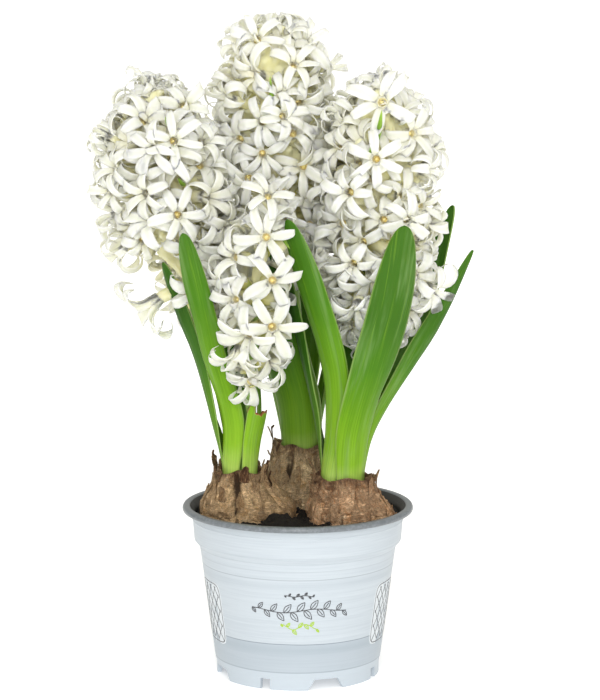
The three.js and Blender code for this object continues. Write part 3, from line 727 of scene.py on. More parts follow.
# Papery flakes that stand off the skin: angle, span (degrees), from what to what share of the height, how far
# the tip leans out (mm) and how far it drifts round (degrees).
flakes = {
    "left": ((-52, 30, 0.55, 0.93, 1.6, -10), (-4, 16, 0.60, 0.80, 1.2, 5), (38, 26, 0.50, 0.96, 1.8, 12),
             (66, 34, 0.36, 0.98, 3.2, 9), (88, 26, 0.38, 0.90, 2.6, -8), (-88, 30, 0.50, 0.96, 1.4, 6),
             (-150, 40, 0.4, 0.95, 1.5, 10), (130, 36, 0.45, 1.0, 1.5, -8)),
    "back": ((-44, 26, 0.5, 1.02, 2.4, -14), (-14, 22, 0.42, 0.82, 1.0, 12), (26, 30, 0.48, 0.96, 1.4, 14),
             (60, 26, 0.55, 1.04, 2.4, 10), (150, 40, 0.4, 0.95, 1.5, 10), (-120, 40, 0.45, 1.0, 1.5, -8)),
    "right": ((-62, 24, 0.45, 0.97, 1.4, 12), (-26, 26, 0.55, 0.93, 1.0, 16), (16, 30, 0.5, 0.92, 1.0, 20),
              (48, 28, 0.6, 1.0, 1.6, 12), (84, 28, 0.5, 1.05, 3.0, 8), (150, 40, 0.4, 0.95, 1.5, 10),
              (-130, 40, 0.45, 1.0, 1.5, -8)),
}
# Round the neck a ring of small torn points: the turn from one to the next, then as above.
tornNeck = {"count": 15, "gap": (6, 42), "span": (6, 30), "low": (0.80, 0.98), "height": 0.2,
            "lean": (0.2, 4.5), "drift": (-22, 22), "dark": (0.3, 1)}
# Small flakes that peel all over.
peeling = {"count": 30, "low": (0.3, 0.8), "span": (9, 24), "length": (0.07, 0.2), "lean": (0.5, 2.2),
           "drift": (-12, 12), "dark": (0, 0.6)}
flakeSheet = {"rows": 14, "columns": 10, "edgePoints": 8, "thickness": 0.35, "dark": 0.35}


# The onion profile leaning to its neck. Its skin has dents, ridges that run up to the neck, creases where a
# noise crosses zero, the edges of old layers, and clefts; lift carries a point off the skin. Also returned:
# a place on the skin for the material, and how deep the skin lies there.
def bulbPoints(key, angles, levels, lift=0.0):
    bulb = bulbs[key]
    foot, neck = np.array(bulb["foot"], float), np.array(bulb["neck"], float)
    height = neck[2] - foot[2]
    radius = bulbSkin["radius"] * bulb["girth"]
    mouth = bulb["opening"] + 1.6
    knots = [(0.0, 7), (0.06, 0.55 * radius), (0.2, 0.86 * radius), (0.4, radius), (0.54, 0.985 * radius),
             (0.68, 0.885 * radius), (0.8, 0.5 * (0.84 * radius + mouth)), (0.9, mouth + 1.0), (1.0, mouth),
             (1.25, mouth + 0.5)]
    path = smoothPath([(r, 0, level * height) for level, r in knots], np.linspace(0, 1, 200))[0]
    r = np.interp(levels * height, path[:, 2], path[:, 0])
    flat = heading(angles)
    skin = flat * 20 + np.stack([0 * angles, 0 * angles, levels * 60], -1)
    seed = bulb["seed"]
    dents = layeredLumps(skin, 13.0, seed + 5, 2) * bulbSkin["dents"]
    ridges = layeredLumps(skin * np.array([1, 1, 0.18]), 3.0, seed, 2) * bulbSkin["ridges"]
    creases = -np.exp(-(lumps(skin, 7.0, seed + 9) / 0.09) ** 2) * bulbSkin["creases"] * 0.6
    layers = ease(layeredLumps(skin * np.array([1, 1, 0.6]), 12.0, seed + 13), 0.1, 0.16) * bulbSkin["layers"]
    grain = lumps(skin, 1.5, seed + 17) * bulbSkin["grain"]
    relief = dents * 0.5 + ridges + creases + layers + grain
    swellAngle, fuller = bulb["swell"]
    swell = fuller * np.exp(-(turnFrom(angles, swellAngle) / 42) ** 2)
    swell = swell * ease(levels, 0.1, 0.35) * (1 - ease(levels, 0.55, 0.95))
    split = swell
    for angle, drift, wide, deep, low in clefts[key]:
        away = turnFrom(angles, angle + drift * (levels - low) / (1 - low))
        wide = wide * (0.35 + 0.65 * ease(levels, low, 1.0))
        deep = deep * ease(levels, low, low + 0.25) * (1 - 0.5 * ease(levels, 0.9, 1))
        split = split - deep * np.exp(-(away / wide) ** 2)
    shape = r + (dents * 0.5 + relief) * ease(levels, 0.05, 0.3) + split + lift
    lean = ease(levels, 0.3, 1)
    middle = foot + (neck - foot) * np.stack([lean, lean, levels], -1)
    points = middle + flat * shape[..., None]
    away = np.linalg.norm(points[..., :2], axis=-1)
    room = np.interp(points[..., 2], *zip(*potInside))
    points[..., :2] *= np.minimum(1, room / np.maximum(away, 1))[..., None]
    return points, skin, relief + (split - swell) * 0.5


def skinEffect():                         # papery skin: stained, wrinkled, cracked, dark where it lies deep
    effect = Effect("paperySkin", {"Skin": "Vector", "Relief": "Float", "Torn": "Float", "Light": "Color",
                                   "Middle": "Color", "Warm": "Color"},
                    {"Colour": "Color", "Roughness": "Float", "Height": "Float"})
    given = effect.given
    skin = given["Skin"]
    fibres = effect.use(fineFibres, Place=effect.stretched(skin, (1, 1, 0.3)), Scale=1.0)
    patches = effect.noise(skin, 0.14, 5, 0.75, 0.8)
    blots = effect.noise(skin, 0.42, 5, 0.75, 0.6)
    specks = effect.noise(skin, 1.3, 3, 0.8)
    wrinkles = effect.noise(effect.stretched(skin, (0.45, 0.45, 1.2)), 0.55, 4, 0.7, 1.4)
    crack = effect.away(wrinkles, 0.5)
    colour = effect.mix(effect.remap(patches, 0.36, 0.52), given["Middle"], given["Light"])
    colour = effect.mix(effect.remap(patches, 0.54, 0.68), colour, given["Warm"])
    colour = effect.mix(effect.remap(blots, 0.30, 0.44, (0.6, 0)), colour, bulbSkin["blot"])
    colour = effect.mix(effect.remap(blots, 0.52, 0.66, (0, 0.7)), colour, bulbSkin["bleached"])
    colour = effect.mix(effect.maths("MULTIPLY", fibres["Dark"], 0.3), colour, bulbSkin["fibre"])
    colour = effect.mix(effect.remap(crack, 0.004, 0.034, (0.75, 0)), colour, bulbSkin["crack"])
    colour = effect.mix(effect.remap(specks, 0.28, 0.42, (0.7, 0)), colour, bulbSkin["speck"])
    # painted shade: darker where the relief lies deep, in creases, clefts and inside the neck
    colour = effect.mix(effect.remap(given["Relief"], -1.7, -0.3, (0.92, 0)), colour, bulbSkin["deep"])
    dried = effect.mix(fibres["Dark"], bulbSkin["dried"], bulbSkin["driedFibre"])
    dried = effect.mix(effect.maths("MULTIPLY", fibres["Pale"], 0.8), dried, given["Middle"])
    effect.link(effect.mix(given["Torn"], colour, dried), effect.results["Colour"])
    effect.link(effect.remap(patches, 0.3, 0.7, (0.8, 0.6)), effect.results["Roughness"])
    height = effect.maths("MULTIPLY_ADD", fibres["Height"], 0.5, effect.maths("MULTIPLY", specks, 0.35))
    ridge = effect.remap(crack, 0.0, 0.12, (0, 0.55))
    effect.link(effect.maths("ADD", height, ridge), effect.results["Height"])
    return effect


paperySkin = skinEffect()


def bulbMaterial(name, light, middle, warm):
    shader = Shader(name)
    skin = shader.use(paperySkin, Skin=shader.attribute("skin", "Vector"), Relief=shader.attribute("relief"),
                      Torn=shader.attribute("torn"), Light=light, Middle=middle, Warm=warm)
    shader.bump(skin["Height"], 1.0)
    return shader.finish(skin["Colour"], skin["Roughness"], Specular_IOR_Level=0.2)


# A bulb's skin from its foot to the mouth of its neck, which turns in and is closed below the leaves' roots.
def makeBulb(key, material):
    rows, cols = bulbSkin["rows"], bulbSkin["columns"]
    angles = np.tile(np.linspace(0, 360, cols, endpoint=False), (rows, 1))
    levels = np.tile(np.linspace(0.0, 1.0, rows)[:, None], (1, cols))
    levels = levels + 0.02 * ease(levels, 0.8, 1) * np.sin(np.radians(angles * 5 + 40 * bulbs[key]["seed"]))
    outer, skin, relief = bulbPoints(key, angles, levels)
    inner = []
    for depth, shift in bulbSkin["lip"]:
        ring = bulbPoints(key, angles[-1], levels[-1], shift)[0]
        ring[:, 2] -= depth
        inner.append(ring)
    more = len(inner)
    skin = np.concatenate([skin, [skin[-1]] * more])
    # the rings inside the neck lie deeper, so they take more painted shade
    relief = np.concatenate([relief, [relief[-1] - 0.5] * more])
    dried = np.concatenate([0.75 * ease(levels, 0.84, 1.0), np.full((more, cols), 0.9)])
    values = {"skin": skin.reshape(-1, 3), "relief": relief.ravel(), "torn": dried.ravel()}
    points = np.concatenate([outer, inner])
    makePiece("bulb" + key.capitalize(), points, tubeFaces(len(points), cols), [material],
              ["bulb_" + key], values=values)


def flakeSpecs(key, random):              # the flakes given above, the torn points and the peeling ones
    sheets = [(*flake, flakeSheet["dark"]) for flake in flakes[key]]
    for turn in np.cumsum(random.uniform(*tornNeck["gap"], tornNeck["count"])):
        rise = 0.98 + tornNeck["height"] * random.uniform(0, 1) ** 3
        span, low, lean, drift, dark = (random.uniform(*tornNeck[part])
                                        for part in ("span", "low", "lean", "drift", "dark"))
        sheets.append((turn, span, low, rise, lean, drift, dark))
    for _ in range(peeling["count"]):
        low = random.uniform(*peeling["low"])
        turn = random.uniform(-180, 180)
        span, length, lean, drift, dark = (random.uniform(*peeling[part])
                                           for part in ("span", "length", "lean", "drift", "dark"))
        sheets.append((turn, span, low, low + length, lean, drift, dark))
    return sheets


# Each flake is a thin closed sheet a little off the skin that narrows to an uneven tip and leans out.
def makeFlakes(key, material):
    random = np.random.default_rng(bulbs[key]["seed"])
    rows, cols, knots = flakeSheet["rows"], flakeSheet["columns"], flakeSheet["edgePoints"]
    sheets = flakeSpecs(key, random)
    p, q = np.meshgrid(np.linspace(0, 1, rows), np.linspace(-1, 1, cols), indexing="ij")
    points, skins, reliefs, torn = [], [], [], []
    for angle, span, low, high, lean, drift, dark in sheets:
        uneven = random.uniform(-1, 1, (2, knots))
        left, right = (np.interp(p, np.linspace(0, 1, knots), line) for line in uneven)
        edge = np.where(q < 0, left, right)
        narrow = np.sqrt(np.maximum(1 - p ** 1.6, 0.004)) * (1 + 0.45 * edge * p)
        narrow = narrow * (0.7 + 0.3 * ease(p, 0, 0.2))
        turn = angle + span / 2 * q * narrow + drift * p ** 1.5
        level = low + (high - low) * p
        lift = 0.05 + 0.3 * ease(p, 0, 0.3) + lean * p ** 2.5 + 0.5 * np.abs(q) ** 4 * p
        front, skin, relief = bulbPoints(key, turn, level, lift)
        back = bulbPoints(key, turn, level, lift - flakeSheet["thickness"])[0]
        points.append(np.stack([front, back]))
        skins.append(np.stack([skin, skin]) + 40 * dark)
        reliefs.append(np.stack([relief, relief]) * 0.5)
        torn.append(np.full((2, rows, cols), dark))
    values = {"skin": np.array(skins).reshape(-1, 3), "relief": np.array(reliefs).ravel(),
              "torn": np.array(torn).ravel()}
    makePiece("flakes" + key.capitalize(), np.array(points), sheetFaces(rows, cols, len(sheets)), [material],
              values=values)


# Leaves

leafBlade = {
    "rows": 60, "columns": 15, "thickness": 1.6, "edge": 0.6, "groove": 0.5, "ripple": 0.12, "wave": 0.35,
    "tear": (-1.8, 0.6), "tearPoints": 8, "tearSeed": 4,
    "lobe": {"height": 6.5, "place": 0.72, "width": 0.22},
    "base": (0.43, 0.58, 0.13), "paleGreen": (0.215, 0.41, 0.016), "low": (0.15, 0.33, 0.008),
    "high": (0.062, 0.187, 0.006), "tip": (0.042, 0.13, 0.007), "darkVein": (0.045, 0.15, 0.004),
    # sheen is a painted highlight, shaded a painted shade
    "paleVein": (0.28, 0.5, 0.03), "paintedSheen": (0.26, 0.39, 0.15), "shaded": (0.014, 0.065, 0.006),
    "margin": (0.36, 0.52, 0.15), "dried": (0.30, 0.11, 0.04),
}
# Each leaf: its bulb, where it stands in the neck, the way its outer face looks, how far its section folds
# to each side in degrees, its width and its path, all from root to tip; shade darkens it with painted shade,
# and paleGreen keeps a front leaf light further up, as painted light.
leaves = {
    "left_front": {"bulb": "left", "angle": -45, "ring": 9, "faces": (-35, -20, -10),
                   "fold": (62, 50, 40, 30), "width": (13, 17, 15, 14, 11.5), "shade": 0.0, "paleGreen": 0.35,
                   "path": ((-35.4, -20.5, 136), (-44.4, -33, 175), (-49.5, -41, 201), (-57.3, -45, 236))},
    "left_torn": {"bulb": "left", "angle": 46, "ring": 9.2, "faces": (40, 40), "fold": (54, 42, 38),
                  "width": (11.8, 12, 13.5), "shade": 0.0, "paleGreen": 0.3, "cut": True,
                  "path": ((-22.3, -20.2, 125), (-19.5, -22, 141))},
    "left_inner": {"bulb": "left", "angle": -25, "ring": 3.6, "faces": (-30, -35, -35),
                   "fold": (40, 40, 35, 30), "width": (5, 9, 10, 8), "shade": 0.6,
                   "path": ((-33, -16, 134), (-39, -19, 160), (-44.5, -21, 183))},
    "left_slim": {"bulb": "left", "angle": 118, "ring": 9, "faces": (90, 80, 70), "fold": (35, 35, 30, 25),
                  "width": (6, 8, 8, 5), "shade": 0.5,
                  "path": ((-19.5, -8, 140), (-22, -2, 170), (-25, 6, 198))},
    "left_rear": {"bulb": "left", "angle": 170, "ring": 8.2, "faces": (190, 200, 210),
                  "fold": (50, 40, 30, 25), "width": (9, 13, 13, 10), "shade": 0.5,
                  "path": ((-32, 8, 140), (-43, 26, 180), (-56, 40, 215))},
    "left_back": {"bulb": "left", "angle": -116, "ring": 9, "faces": (-80, -58, -50),
                  "fold": (45, 40, 32, 30), "width": (7, 11, 14, 14, 10), "shade": 0.6,
                  "path": ((-44.3, -13.5, 138), (-51.5, -18, 168), (-60, -22.5, 193), (-68, -27, 219))},
    "back_front": {"bulb": "back", "angle": 0, "ring": 10.8, "faces": (-6, -10, -10),
                   "fold": (70, 55, 40, 30), "width": (26, 27, 25, 22, 15), "shade": 0.55,
                   "path": ((0, 10, 140), (-6.5, 4, 168), (-13, 0, 200), (-17, -2, 226))},
    "back_right": {"bulb": "back", "angle": 118, "ring": 9.5, "faces": (100, 90, 80),
                   "fold": (45, 45, 35, 30), "width": (9, 16, 16, 12), "shade": 0.5,
                   "path": ((15, 29, 145), (26, 40, 190), (34, 52, 240))},
    "back_left": {"bulb": "back", "angle": -118, "ring": 9.5, "faces": (-105, -115, -130),
                  "fold": (45, 45, 35, 30), "width": (9, 16, 16, 12), "shade": 0.5,
                  "path": ((-13, 32, 145), (-24, 45, 185), (-31, 62, 228))},
    "back_rear": {"bulb": "back", "angle": 180, "ring": 10.6, "faces": (180, 175, 170),
                  "fold": (45, 50, 40, 30), "width": (9, 18, 18, 13), "shade": 0.3,
                  "path": ((3, 42, 145), (5, 58, 195), (4, 68, 250))},
    "right_left": {"bulb": "right", "angle": -54, "ring": 10.8, "faces": (-38, -25, -20),
                   "fold": (45, 42, 34, 28), "width": (12, 17, 17, 15, 12), "shade": 0.0, "paleGreen": 0.34,
                   "path": ((17.5, -22, 131), (18, -28.5, 160), (8.2, -37, 201), (-5.3, -46, 243))},
    "right_front": {"bulb": "right", "angle": 30, "ring": 10.8, "faces": (28, 15, 8),
                    "fold": (48, 38, 30, 26), "width": (17, 22, 24, 23, 17), "shade": 0.05,
                    "path": ((29.6, -26, 130), (39, -38, 168), (48, -44.5, 204), (53.4, -47, 240))},
    "right_outer": {"bulb": "right", "angle": 110, "ring": 11, "faces": (70, 45, 50),
                    "fold": (45, 46, 42, 36), "width": (8, 15, 15, 12, 5), "shade": 0.1,
                    "path": ((39, -9, 129), (59, -8, 165), (77.5, -6, 197), (89.6, -2, 222))},
    "right_rear": {"bulb": "right", "angle": 165, "ring": 9.7, "faces": (150, 150, 145),
                   "fold": (45, 42, 36, 30), "width": (9, 14, 13, 10), "shade": 0.35,
                   "path": ((38, 12, 142), (66, 29, 190), (81, 33, 241))},
    "right_inner": {"bulb": "right", "angle": -148, "ring": 6.6, "faces": (-160, -180, -185),
                    "fold": (35, 40, 34, 28), "width": (6, 14, 14, 11), "shade": 0.5,
                    "path": ((21, 3, 132), (28, 17, 165), (37, 47, 222))},
    "right_shade": {"bulb": "right", "angle": -118, "ring": 11, "faces": (-85, -70, -60),
                    "fold": (38, 40, 32, 26), "width": (7, 13, 13, 10), "shade": 0.8,
                    "path": ((10, -7, 130), (2, -11, 170), (-10, -6, 225))},
}


def leafMaterial():
    shader = Shader("waxyLeaf")
    run = shader.attribute("run", "Vector")
    _, up, shade = shader.split(run)
    veins = shader.use(fineFibres, Place=shader.stretched(run, (1.0, 0.012, 3.0)), Scale=1.5)
    broad = shader.noise(shader.place(), 0.045, 3, 0.6)
    paintedSheen = shader.noise(shader.stretched(run, (0.25, 0.02, 3.0)), 1.0, 3, 0.6)
    height = shader.maths("ADD", shader.maths("MULTIPLY", up, 0.01), shader.maths("MULTIPLY", broad, 0.1))
    colour = shader.ramp(height, [(0.05, leafBlade["base"]), (0.2, leafBlade["paleGreen"]),
                                  (0.42, leafBlade["low"]), (0.72, leafBlade["high"]),
                                  (1.0, leafBlade["tip"])])
    colour = shader.mix(shader.maths("MULTIPLY", veins["Dark"], 0.35), colour, leafBlade["darkVein"])
    colour = shader.mix(shader.maths("MULTIPLY", veins["Pale"], 0.28), colour, leafBlade["paleVein"])
    # painted highlight: paler streaks standing in for the waxy sheen
    colour = shader.mix(shader.remap(paintedSheen, 0.48, 0.75, (0, 0.35)), colour, leafBlade["paintedSheen"])
    colour = shader.mix(shader.maths("MULTIPLY", shade, 0.75), colour, leafBlade["shaded"])
    margin = shader.attribute("margin")                   # 1 at the blade's sides, 2 at a torn end
    colour = shader.mix(shader.remap(margin, 0.9, 0.98, (0, 0.5)), colour, leafBlade["margin"])
    colour = shader.mix(shader.remap(margin, 1.2, 1.9), colour, leafBlade["dried"])
    shader.bump(veins["Height"], 0.15, 0.5)
    roughness = shader.remap(veins["Height"], 0.3, 0.7, (0.58, 0.46))
    return shader.finish(colour, roughness, Specular_IOR_Level=0.14, Subsurface_Weight=0.05,
                         Subsurface_Scale=0.002)


# The blade's middle line, with its directions and its width, at places from root to tip.
def leafFrame(leaf, places):
    middle, tangent = smoothPath(growthKnots(leaf["bulb"], leaf["angle"], leaf["ring"], leaf["path"]), places)
    outward = heading(along((leaf["angle"], *leaf["faces"]), places))
    outward = unit(outward - tangent * dot(outward, tangent))
    side = np.cross(outward, tangent)
    tip = np.ones_like(places) if leaf.get("cut") else np.sqrt(np.maximum(1 - places ** 12, 0.004))
    spread = np.radians(along(leaf["fold"], places))
    wide = along(leaf["width"], places) * tip
    return middle, tangent, outward, side, spread, wide, tip


# A strap on a path. Its section is a piece of a gutter, thick in the middle and thin at the margins.
def makeLeaf(key, leaf, material):
    rows, cols = leafBlade["rows"], leafBlade["columns"]
    places = 1 - (1 - np.linspace(0, 1, rows)) ** 1.35
    middle, tangent, outward, side, spread, wide, tip = leafFrame(leaf, places)
    across = np.linspace(-1, 1, cols)
    margin = np.broadcast_to(np.abs(across)[None], (rows, cols))
    tear = np.zeros((rows, cols))
    if leaf.get("cut"):                   # the torn end: uneven, with a small lobe left standing at one side
        lobe, knots = leafBlade["lobe"], leafBlade["tearPoints"]
        uneven = np.random.default_rng(leafBlade["tearSeed"]).uniform(*leafBlade["tear"], knots)
        tear = np.interp(across, np.linspace(-1, 1, knots), uneven)
        tear = tear + lobe["height"] * np.exp(-((across - lobe["place"]) / lobe["width"]) ** 2)
        tear = tear[None] * ease(places, 0.75, 1)[:, None]
        margin = np.maximum(margin, 2 * ease(places, 0.965, 0.99)[:, None])
    turn = spread[:, None] * across[None]
    bend = (wide / 2 / spread)[:, None, None]
    lean = side[:, None] * np.sin(turn)[..., None] + outward[:, None] * np.cos(turn)[..., None]
    centre = middle[:, None] - outward[:, None] * bend + lean * bend + tangent[:, None] * tear[..., None]
    thick = leafBlade["thickness"] * np.minimum(1, 0.45 + tip)[:, None]
    body = thick + (leafBlade["edge"] - thick) * across[None] ** 2
    groove = leafBlade["groove"] * np.exp(-(across[None] / 0.12) ** 2) * (0.3 + 0.7 * (1 - places[:, None]))
    ripple = leafBlade["ripple"] * np.sin(across[None] * 9 * np.pi)
    length = np.linalg.norm(np.diff(middle, axis=0), axis=1).sum()
    up = np.broadcast_to((places * length)[:, None], (rows, cols))
    wave = leafBlade["wave"] * np.abs(across[None]) ** 3
    wave = wave * np.sin(up * 0.11 + 3 * leaf["shade"] + across[None] * 1.5)
    front = centre + lean * (body / 2 + ripple + wave)[..., None]
    back = centre + lean * (-body / 2 + groove * 0.4 + ripple + wave)[..., None]
    # shade and paleGreen: painted shade on leaves further back, painted light on the front leaves
    run = np.stack([np.broadcast_to(across[None] * wide[:, None] / 2 + leaf["angle"], (rows, cols)),
                    up * (1 - leaf.get("paleGreen", 0)), np.full((rows, cols), leaf["shade"])], -1)
    inner = run + np.array([0, 0, 0.12])  # the channelled face is darker
    makePiece("leaf" + "".join(word.capitalize() for word in key.split("_")), np.stack([front, back]),
              sheetFaces(rows, cols), [material], ["leaf_" + key],
              values={"run": np.stack([run, inner]).reshape(-1, 3), "margin": np.tile(margin.ravel(), 2)})


# Flower stalks

# Each goes on up through its head as the head's inner stem.
stalks = {
    "left": {"bulb": "left", "angle": -128, "ring": 4, "radius": 3.6,
             "path": ((-34.5, -8, 126), (-48, -1, 185))},
    "second": {"bulb": "left", "angle": 75, "ring": 3.9, "radius": 2.9, "path": ((-24.5, -14, 135),)},
    "back": {"bulb": "back", "angle": 0, "ring": 0, "radius": 4.2, "path": ((0, 26, 160),)},
    "right": {"bulb": "right", "angle": 135, "ring": 1.4, "radius": 4.2, "path": ((28, -8, 130),)},
}
stalkRod = {
    "rows": 90, "columns": 20, "ribs": 5, "colour": (0.34, 0.53, 0.14), "dark": (0.16, 0.34, 0.05),
    "pale": (0.50, 0.63, 0.28),
}
# Flower heads: outline radius, number of florets, first turn, how much lower (mm) the topmost florets sit
# than the outline, seed, how much painted shade darkens its petals, and axis from bottom to top.
# bare: points, and how far florets stay away from them. A coreRadius stands in for the outline's where the
# core is worked out.
heads = {
    "left": {"radius": 35.5, "florets": 96, "turn": 10, "topRoom": 4, "seed": 5, "dim": 0.09,
             "axis": ((-46.5, -1, 176), (-64.5, 1, 240), (-74, 2, 313)),
             "bare": ((-90, -4, 190, 31), (-68, -2, 172, 25))},
    "back": {"radius": 35, "florets": 86, "turn": 40, "topRoom": 5, "seed": 17, "dim": 0.0,
             "axis": ((-5, 26, 208), (-12, 28, 272), (-11, 28, 344))},
    "right": {"radius": 34.5, "florets": 92, "turn": 75, "topRoom": 4, "seed": 29, "dim": 0.04,
              "axis": ((37, 1, 172), (41, 2, 238), (42, 3, 313)),
              "bare": ((89, 0, 262, 23), (80, 4, 298, 21))},
    "second": {"radius": 23, "florets": 24, "turn": 0, "topRoom": 3, "seed": 41, "dim": 0.15,
               "axis": ((-24, -29, 156), (-20.5, -33, 205), (-16, -34, 254)), "coreRadius": 6},
}


def girth(radius, u):                     # of an outline with this radius at its middle, u of the way up it
    return radius * np.sqrt(np.maximum(1 - np.abs(2 * u - 1) ** 2.6, 0))


def stalkMaterial():
    shader = Shader("juicyStalk")
    streaks = shader.use(fineFibres, Place=shader.stretched(shader.place(), (1, 1, 0.06)), Scale=0.9)
    colour = shader.mix(shader.maths("MULTIPLY", streaks["Dark"], 0.7), stalkRod["colour"], stalkRod["dark"])
    colour = shader.mix(shader.maths("MULTIPLY", streaks["Pale"], 0.8), colour, stalkRod["pale"])
    shader.bump(streaks["Height"], 0.15, 0.5)
    roughness = shader.remap(streaks["Height"], 0.3, 0.7, (0.4, 0.5))
    return shader.finish(colour, roughness, Subsurface_Weight=0.08, Subsurface_Scale=0.002)


# A round rod along its path, ribbed a little, slimmer through its head.
def makeStalk(key, stalk, material):
    rows, cols = stalkRod["rows"], stalkRod["columns"]
    knots = growthKnots(stalk["bulb"], stalk["angle"], stalk["ring"], stalk["path"])
    axis = smoothPath(heads[key]["axis"], [0.03, 0.3, 0.6, 0.9])[0]
    places = np.linspace(0, 1, rows)
    middle, tangent = smoothPath([*knots, *axis], places)
    side = unit(np.cross(tangent, heading(np.zeros(rows))))
    front = np.cross(side, tangent)
    turn = np.linspace(0, 2 * np.pi, cols, endpoint=False)[None, :, None]
    radius = stalk["radius"] * (1 - 0.55 * ease(places, 0.5, 1))[:, None, None]
    radius = radius * (1 + 0.03 * np.cos(turn * stalkRod["ribs"]))
    points = middle[:, None] + (side[:, None] * np.cos(turn) + front[:, None] * np.sin(turn)) * radius
    makePiece("stalk" + key.capitalize(), points, tubeFaces(rows, cols), [material],
              ["stem_" + key])


# Florets

goldenAngle = 137.5
floret = {
    "tepalLength": 23.5, "tepalWidth": 5.7, "starWidth": 1.04, "thickness": 0.8, "edge": 0.35, "cup": 0.11,
    "throatRadius": 2.7, "throatDepth": 3.5, "rows": 12, "columns": 5, "tubeColumns": 8, "tubeSize": 1.1,
}
# How florets and tepals differ from one another, as least and most. Of a floret: step up the axis, degrees
# up, turn, lean to the side, depth in the outline, size, slopes at half length and from there to the tip,
# width, and how far out its tepals still form a bell. Of a tepal: turn, first slope, slope at half length,
# length, bow to the side, width and twist.
variety = {
    "step": (-0.3, 0.3), "up": (-34, 28), "turn": (-14, 14), "lean": (-0.7, 0.7), "depth": (-8, 0),
    "size": (0.88, 1.1), "half": (44, 80), "curl": (75, 168), "broad": (0.86, 1.08), "bell": (0.36, 0.58),
    "tepalTurn": (-14, 14), "tepalFirst": (8, 16), "tepalHalf": (-12, 12), "tepalLength": (0.88, 1.1),
    "tepalBow": (-5.5, 5.5), "tepalWidth": (0.9, 1.1), "tepalTwist": (-0.9, 0.9),
}
petalColours = {
    # from the foot of a tube (0) over the throat (0.5) to the tips (1)
    "along": ((0.0, (0.15, 0.34, 0.03)), (0.10, (0.38, 0.50, 0.09)), (0.2, (0.80, 0.76, 0.28)),
              (0.34, (0.90, 0.87, 0.52)), (0.46, (0.91, 0.87, 0.60)), (0.56, (0.92, 0.91, 0.77)),
              (0.7, (0.92, 0.92, 0.84)), (1.0, (0.92, 0.922, 0.865))),
    # cream: a random creamy tone, and painted bounce light deep in a head
    "rib": (0.73, 0.76, 0.60), "vein": (0.78, 0.78, 0.64), "creamToneAndBounce": (0.96, 0.91, 0.62),
    # dim: black, mixed in as painted shade
    "anther": (0.92, 0.78, 0.38), "dim": (0.0, 0.0, 0.0),
}
core = {
    "rows": 44, "columns": 64, "span": (0.2, 0.95), "swell": (0.15, 0.45), "share": 0.52, "lump": 4.0,
    "rough": 0.45, "tone": 0.76,
}
# Tepals deep in a head are painted creamier, standing in for warm light bounced among the florets: from what
# to what share of its radius, how much, and the part of the axis that this is measured from.
paintedDeepLight = {"reach": (0.45, 0.95), "strength": 0.8, "axis": (0.26, 0.74), "spots": 13}
# The outer wall of the tube from the stalk to the throat, then the inner wall down to its closed end, with
# the anthers standing up in it: the share of the way to the throat that is left, and the radius.
tubeProfile = ((1.0, 1.1), (0.88, 1.1), (0.78, 1.8), (0.68, 3.4), (0.5, 4.0), (0.3, 3.4), (0.1, 2.9),
               (0.0, 3.0), (0.0, 2.5), (0.05, 2.0), (0.13, 1.6), (0.12, 1.1), (0.07, 0.9), (0.05, 0.3))
# Florets placed one by one: where the throat is, the way it looks (degrees from the front, degrees up), its
# turn about that way, its size, how far its tepals open and how far they curl on from there, and how much
# room it has: the heads' other florets stay further from it than that.
stars = {
    "left": (
        ((-62, -33, 281), 8, 8, 10, 0.9, 76, 40, 11), ((-72, -33, 277), -28, -4, 40, 0.9, 74, 60, 11),
        ((-74, -24, 197), -75, -40, 0, 1.36, 62, 44, 24), ((-76, -29, 254), -30, 0, 5, 0.95, 66, 90, 9),
        ((-60, -35, 244), 12, 4, 33, 0.95, 70, 75, 10), ((-52, -30, 206), 14, -24, 12, 0.95, 60, 90, 10),
    ),
    "back": (
        ((-7.5, -5, 291), 20, 10, 0, 0.9, 66, 70, 10), ((-18, -4, 288), -10, 0, 30, 0.92, 72, 80, 10),
        ((-2, 4, 316), 15, 30, 15, 0.9, 72, 70, 10),
    ),
    "right": (
        ((42.5, -16, 299), -5, 12, 0, 1.15, 82, 20, 13), ((58, -14, 283), 30, 4, 35, 0.95, 72, 65, 10),
        ((39, -34, 272), -10, 6, 12, 0.95, 72, 85, 10), ((55, -30, 241), 24, -4, 48, 0.95, 68, 100, 10),
        ((26, -31, 255), -24, 4, 20, 0.95, 68, 100, 10), ((30, -29, 196), -12, -48, 0, 1.05, 50, 60, 13),
        ((28, -32, 219), -20, -14, 30, 0.95, 62, 110, 10), ((68, -14, 203), 58, -30, 38, 1.0, 60, 100, 10),
    ),
    "second": (
        ((-14.7, -48, 255), 6, 34, 20, 0.85, 70, 60, 10), ((-15.7, -52, 235), -6, 8, 37, 0.98, 80, 34, 11),
        ((-12.5, -54, 213.5), 4, 4, 35, 1.02, 82, 28, 12),
        ((-12.5, -54.5, 190), 10, -8, 28, 1.08, 82, 24, 13),
        ((-24.3, -53, 186), -26, -22, 42, 1.08, 66, 60, 12), ((-30, -48, 176), -20, -56, 20, 1.0, 52, 60, 12),
        ((-38, -42, 211), -52, -6, 30, 0.92, 68, 85, 10), ((-31, -49, 203), -28, -4, 25, 0.92, 74, 90, 10),
        ((-31, -45, 224), -34, 6, 12, 0.92, 70, 90, 10),
    ),
}
# Green bracts that show between the florets: from where to where, and how thick they are.
bracts = {
    "left": (((-64, -30, 288), (-66, -34, 293), 1.1), ((-60, -31, 272), (-62, -34, 279), 1.1),
             ((-57, -22, 258), (-60, -30, 262), 1.2)),
    "back": (((-12, 0, 285), (-14, -6, 311), 1.7), ((-15, -2, 283), (-16, -8, 296), 1.2)),
    "right": (((40, -20, 280), (42, -31, 296), 1.5), ((36, -30, 272), (37, -36, 280), 1.2)),
    "second": (((-8, -42, 236), (-4, -50, 229), 1.0),),
}
bractProfile = ((1.0, 0.25), (0.9, 0.8), (0.6, 1.0), (0.3, 0.75), (0.1, 0.4), (0.0, 0.12))


